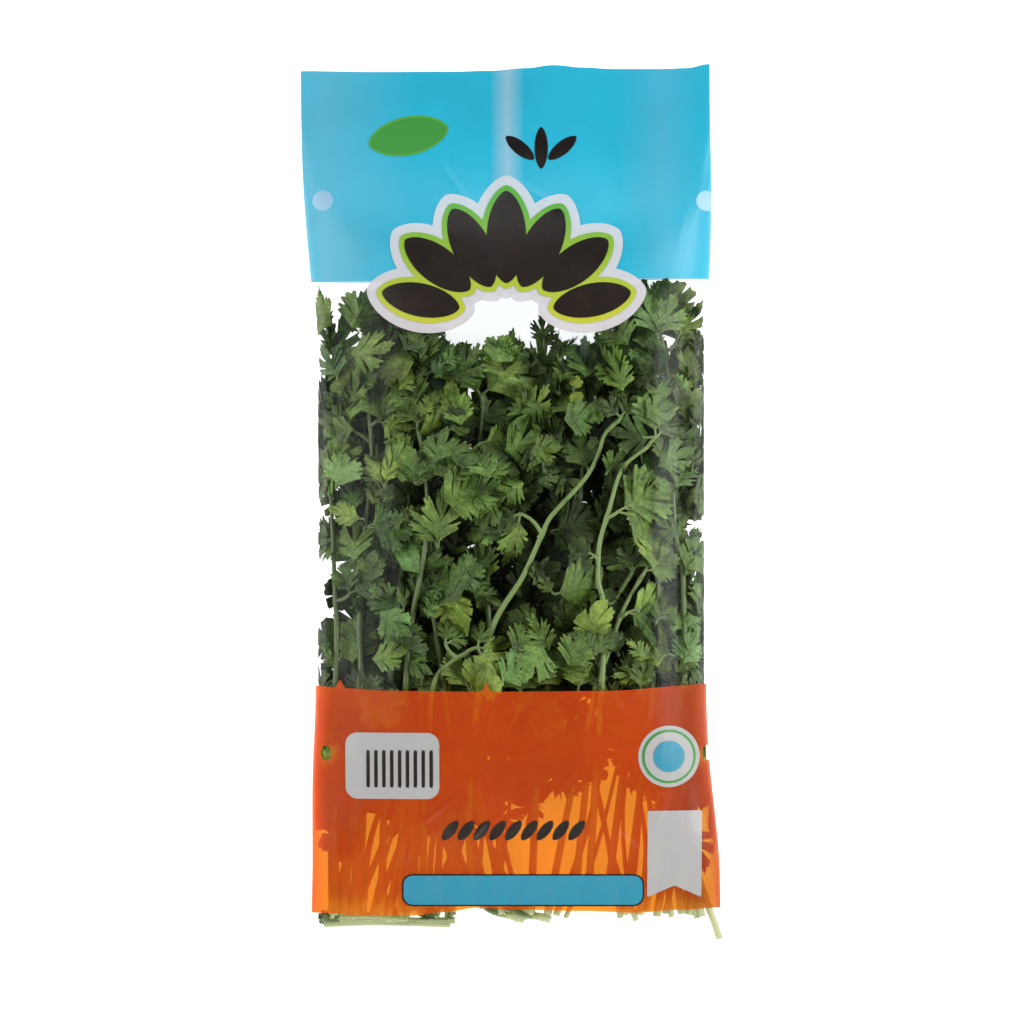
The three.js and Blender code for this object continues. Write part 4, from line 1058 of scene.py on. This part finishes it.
def ink_material(name, low, high, mottle, cover=1.0):
    """Flat gravure ink that runs from one colour to another over the badge's height, with a broken, cloudy
    laydown."""
    r = Recipe(name)
    place = r.coordinates("Object")
    cloud = r.noise(place, 160.0, detail=5, roughness=0.65)
    height = r.split(place)[1]
    colour = r.mix(r.remap(height, 0.052, 0.098), low, high)
    colour = r.mix(r.remap(cloud, 0.42, 0.7, 0, mottle), colour, (0.30, 0.13, 0.05, 1))
    ink = r.principled(Base_Color=colour, Roughness=0.34, Specular_IOR_Level=0.2, Normal=film_gloss(r, 0.3))
    if cover == 1.0:
        return r.finish(ink)
    return r.finish(r.blend(cover, r.see_through((1, 1, 1, 1)), ink))


def leaf_shape(centre, heading, length, width, grow):
    """A pointed oval about its centre: half the width · sin t to the power 1.25 across, and half the length
    · cos t along, with both halves grown by the same amount."""
    t = np.linspace(0, 2 * np.pi, 64, endpoint=False)
    across = (width / 2 + grow) * np.sign(np.sin(t)) * np.abs(np.sin(t)) ** 1.25
    along = (length / 2 + grow) * np.cos(t)
    out = heading_of(heading)
    return np.asarray(centre) + along[:, None] * out + across[:, None] * np.array([out[1], -out[0]])


white_ink = ink_material("whitish_ink", (0.42, 0.39, 0.40, 1), (0.36, 0.41, 0.45, 1), 0.0, 0.94)
rim_ink = ink_material("green_yellow_ink", (0.40, 0.38, 0.03, 1), (0.06, 0.25, 0.03, 1), 0.0)
dark_ink = ink_material("near_black_ink", (0.012, 0.008, 0.006, 1), (0.005, 0.004, 0.004, 1), 0.02)
green_ink = ink_material("green_ink", (0.035, 0.19, 0.035, 1), (0.035, 0.19, 0.035, 1), 0.0)
grey_ink = ink_material("greyish_white_ink", (0.30, 0.30, 0.295, 1), (0.30, 0.30, 0.295, 1), 0.04, 0.95)
blue_ink = ink_material("blue_ink", (0.025, 0.20, 0.29, 1), (0.025, 0.20, 0.29, 1), 0.05, 0.94)

BADGE = np.array([-1.5, 60.0])  # where the fan's leaves point from
for index, (heading, out_by, length, width) in enumerate((
    (-78, 28.75, 26, 11), (-52, 28.75, 27, 12), (-26, 26, 29, 12.5), (0, 27, 31, 13), (26, 26, 29, 12.5),
    (52, 28.75, 27, 12), (78, 28.75, 26, 11),
)):
    centre = BADGE + heading_of(heading) * out_by
    for part, grow, level, ink in (("ground", 5.2, 1, white_ink), ("rim", 1.9, 2, rim_ink),
                                   ("leaf", 0.0, 3, dark_ink)):
        shape = leaf_shape(centre, heading, length, width, grow)
        printed(f"badge_{part}_{index + 1}", shape, centre, level + 0.05 * index, ink)

# ---- the small prints ----------------------------------------------------------------------------------
# Blank devices printed on the web: a green oval and three small leaves on the header, and on the foot a
# label with plain bars, a blue strip with a dark outline, a ringed disc, a swallow-tailed ribbon and a row
# of dark leaves.


def resampled(corners):
    """Points about every millimetre along a closed outline."""
    corners = np.vstack([corners, corners[:1]])
    along = np.concatenate([[0], np.cumsum(np.linalg.norm(np.diff(corners, axis=0), axis=1))])
    steps = np.linspace(0, along[-1], int(along[-1]), endpoint=False)
    return np.stack([np.interp(steps, along, corners[:, k]) for k in (0, 1)], 1)


def rounded_box(centre, width, height, corner):
    """A rectangle with quarter circles of that radius at its corners."""
    t = np.linspace(0, 2 * np.pi, 96, endpoint=False) + 0.01
    inner = np.array([width / 2 - corner, height / 2 - corner])
    ray = np.stack([np.cos(t), np.sin(t)], 1)
    return resampled(np.asarray(centre) + np.sign(ray) * inner + corner * ray)


def disc(centre, radius):
    """A circle."""
    t = np.linspace(0, 2 * np.pi, 72, endpoint=False)
    return np.asarray(centre) + radius * np.stack([np.cos(t), np.sin(t)], 1)


LABEL, STRIP, SEAL, RIBBON, OVAL = (-39, -87), (4, -128.6), (52, -84), (54, -116), (-34, 121)
printed("label_ground", rounded_box(LABEL, 31, 22, 4), LABEL, 1, grey_ink, 16)
for index in range(9):
    bar = np.array([LABEL[0] - 8 + 2.6 * index, LABEL[1] - 1])
    printed(f"label_bar_{index + 1}", rounded_box(bar, 1.1, 12.5, 0.2), bar, 2, dark_ink, 6)
printed("strip_outline", rounded_box(STRIP, 80, 10.8, 3.4), STRIP, 1, dark_ink, 30)
printed("strip_ground", rounded_box(STRIP, 79, 9.8, 3), STRIP, 2, blue_ink, 30)
for level, (part, radius, ink, rings) in enumerate((
    ("ground", 10.2, grey_ink, 12), ("ring", 8.9, green_ink, 12), ("middle", 8.1, grey_ink, 12),
    ("heart", 5.2, blue_ink, 10),
), 1):
    printed(f"seal_{part}", disc(SEAL, radius), SEAL, level, ink, rings)
x, y = RIBBON
tail = [(x - 9, y + 14), (x + 9, y + 14), (x + 9, y - 15), (x, y - 11), (x - 9, y - 15)]
printed("ribbon", resampled(np.array(tail, float)), RIBBON, 1, grey_ink, 18)
for index in range(9):
    leaf = np.array([-20 + 5.2 * index, -108.5])
    printed(f"foot_leaf_{index + 1}", leaf_shape(leaf, 38, 8.2, 3.4, 0), leaf, 1, dark_ink)
printed("oval_rim", leaf_shape(OVAL, 78, 27, 13, 0), OVAL, 1, rim_ink, 12)
printed("oval_ground", leaf_shape(OVAL, 78, 25.4, 11.4, 0), OVAL, 2, green_ink, 12)
for index, (x, heading, length) in enumerate(((3, -50, 12), (10, 0, 14), (17, 50, 12))):
    leaf = np.array([x, 117.0])
    printed(f"header_leaf_{index + 1}", leaf_shape(leaf, heading, length, 4.4, 0), leaf, 1, dark_ink)

# ---- floor, light and camera ---------------------------------------------------------------------------
# The bunch lies on a plain white floor that glows evenly from below, between soft lights that stand low on
# all four sides, and is seen from straight above.

FLOOR_REACH = 3.0  # metres to each side
FLOOR_HEIGHT = -0.0004  # a hair below the film

floor_mesh = bpy.data.meshes.new("floor")
corners = [(FLOOR_REACH * x, FLOOR_REACH * y, FLOOR_HEIGHT) for x, y in ((-1, -1), (1, -1), (1, 1), (-1, 1))]
floor_mesh.from_pydata(corners, [], [(0, 1, 2, 3)])
floor = bpy.data.objects.new("floor", floor_mesh)
bpy.context.scene.collection.objects.link(floor)
r = Recipe("pale_floor")
floor_mesh.materials.append(r.finish(r.principled(
    Base_Color=(0.7, 0.7, 0.7, 1), Roughness=0.9, Emission_Color=(1, 1, 1, 1), Emission_Strength=0.85)))


def soft_light(name, place, width, height, power, aim=(0, 0, 0)):
    """A rectangular area light at place that faces aim, all in metres, with its power in watts."""
    light = bpy.data.lights.new(name, "AREA")
    light.shape = "RECTANGLE"
    light.size, light.size_y, light.energy = width, height, power
    lamp = bpy.data.objects.new(name, light)
    lamp.location = place
    lamp.rotation_euler = (Vector(aim) - Vector(place)).to_track_quat("-Z", "Y").to_euler()
    bpy.context.scene.collection.objects.link(lamp)


soft_light("soft_light_right", (1.2, 0.1, 0.78), 1.4, 0.5, 29)
soft_light("soft_light_left", (-1.3, 0.1, 0.9), 2.0, 1.4, 36)
soft_light("soft_light_head", (0, 1.4, 0.35), 1.2, 0.4, 11)
soft_light("soft_light_foot", (0, -1.4, 0.35), 1.2, 0.4, 14)
soft_light("low_light_right", (0.95, 0, 0.2), 0.8, 0.3, 1.2, (0.06, 0, 0.02))

world = bpy.data.worlds.new("studio")
world.use_nodes = True
background = world.node_tree.nodes["Background"]
background.inputs["Color"].default_value = (1, 1, 1, 1)
background.inputs["Strength"].default_value = 0.14
bpy.context.scene.world = world

# The camera is 2.4 m above a level 12 mm over the floor, and what it sees of that level is 0.3379 m wide.
CAMERA_DISTANCE = 2.4
PICTURE_WIDTH = 0.3379
SENSOR_WIDTH = 36

camera = bpy.data.objects.new("camera", bpy.data.cameras.new("camera"))
camera.location = (0.00033, -0.0036, 0.012 + CAMERA_DISTANCE)
camera.data.sensor_width = SENSOR_WIDTH
camera.data.lens = SENSOR_WIDTH * CAMERA_DISTANCE / PICTURE_WIDTH
camera.data.clip_end = 20
bpy.context.scene.collection.objects.link(camera)
bpy.context.scene.camera = camera
bpy.context.scene.view_settings.view_transform = "Standard"
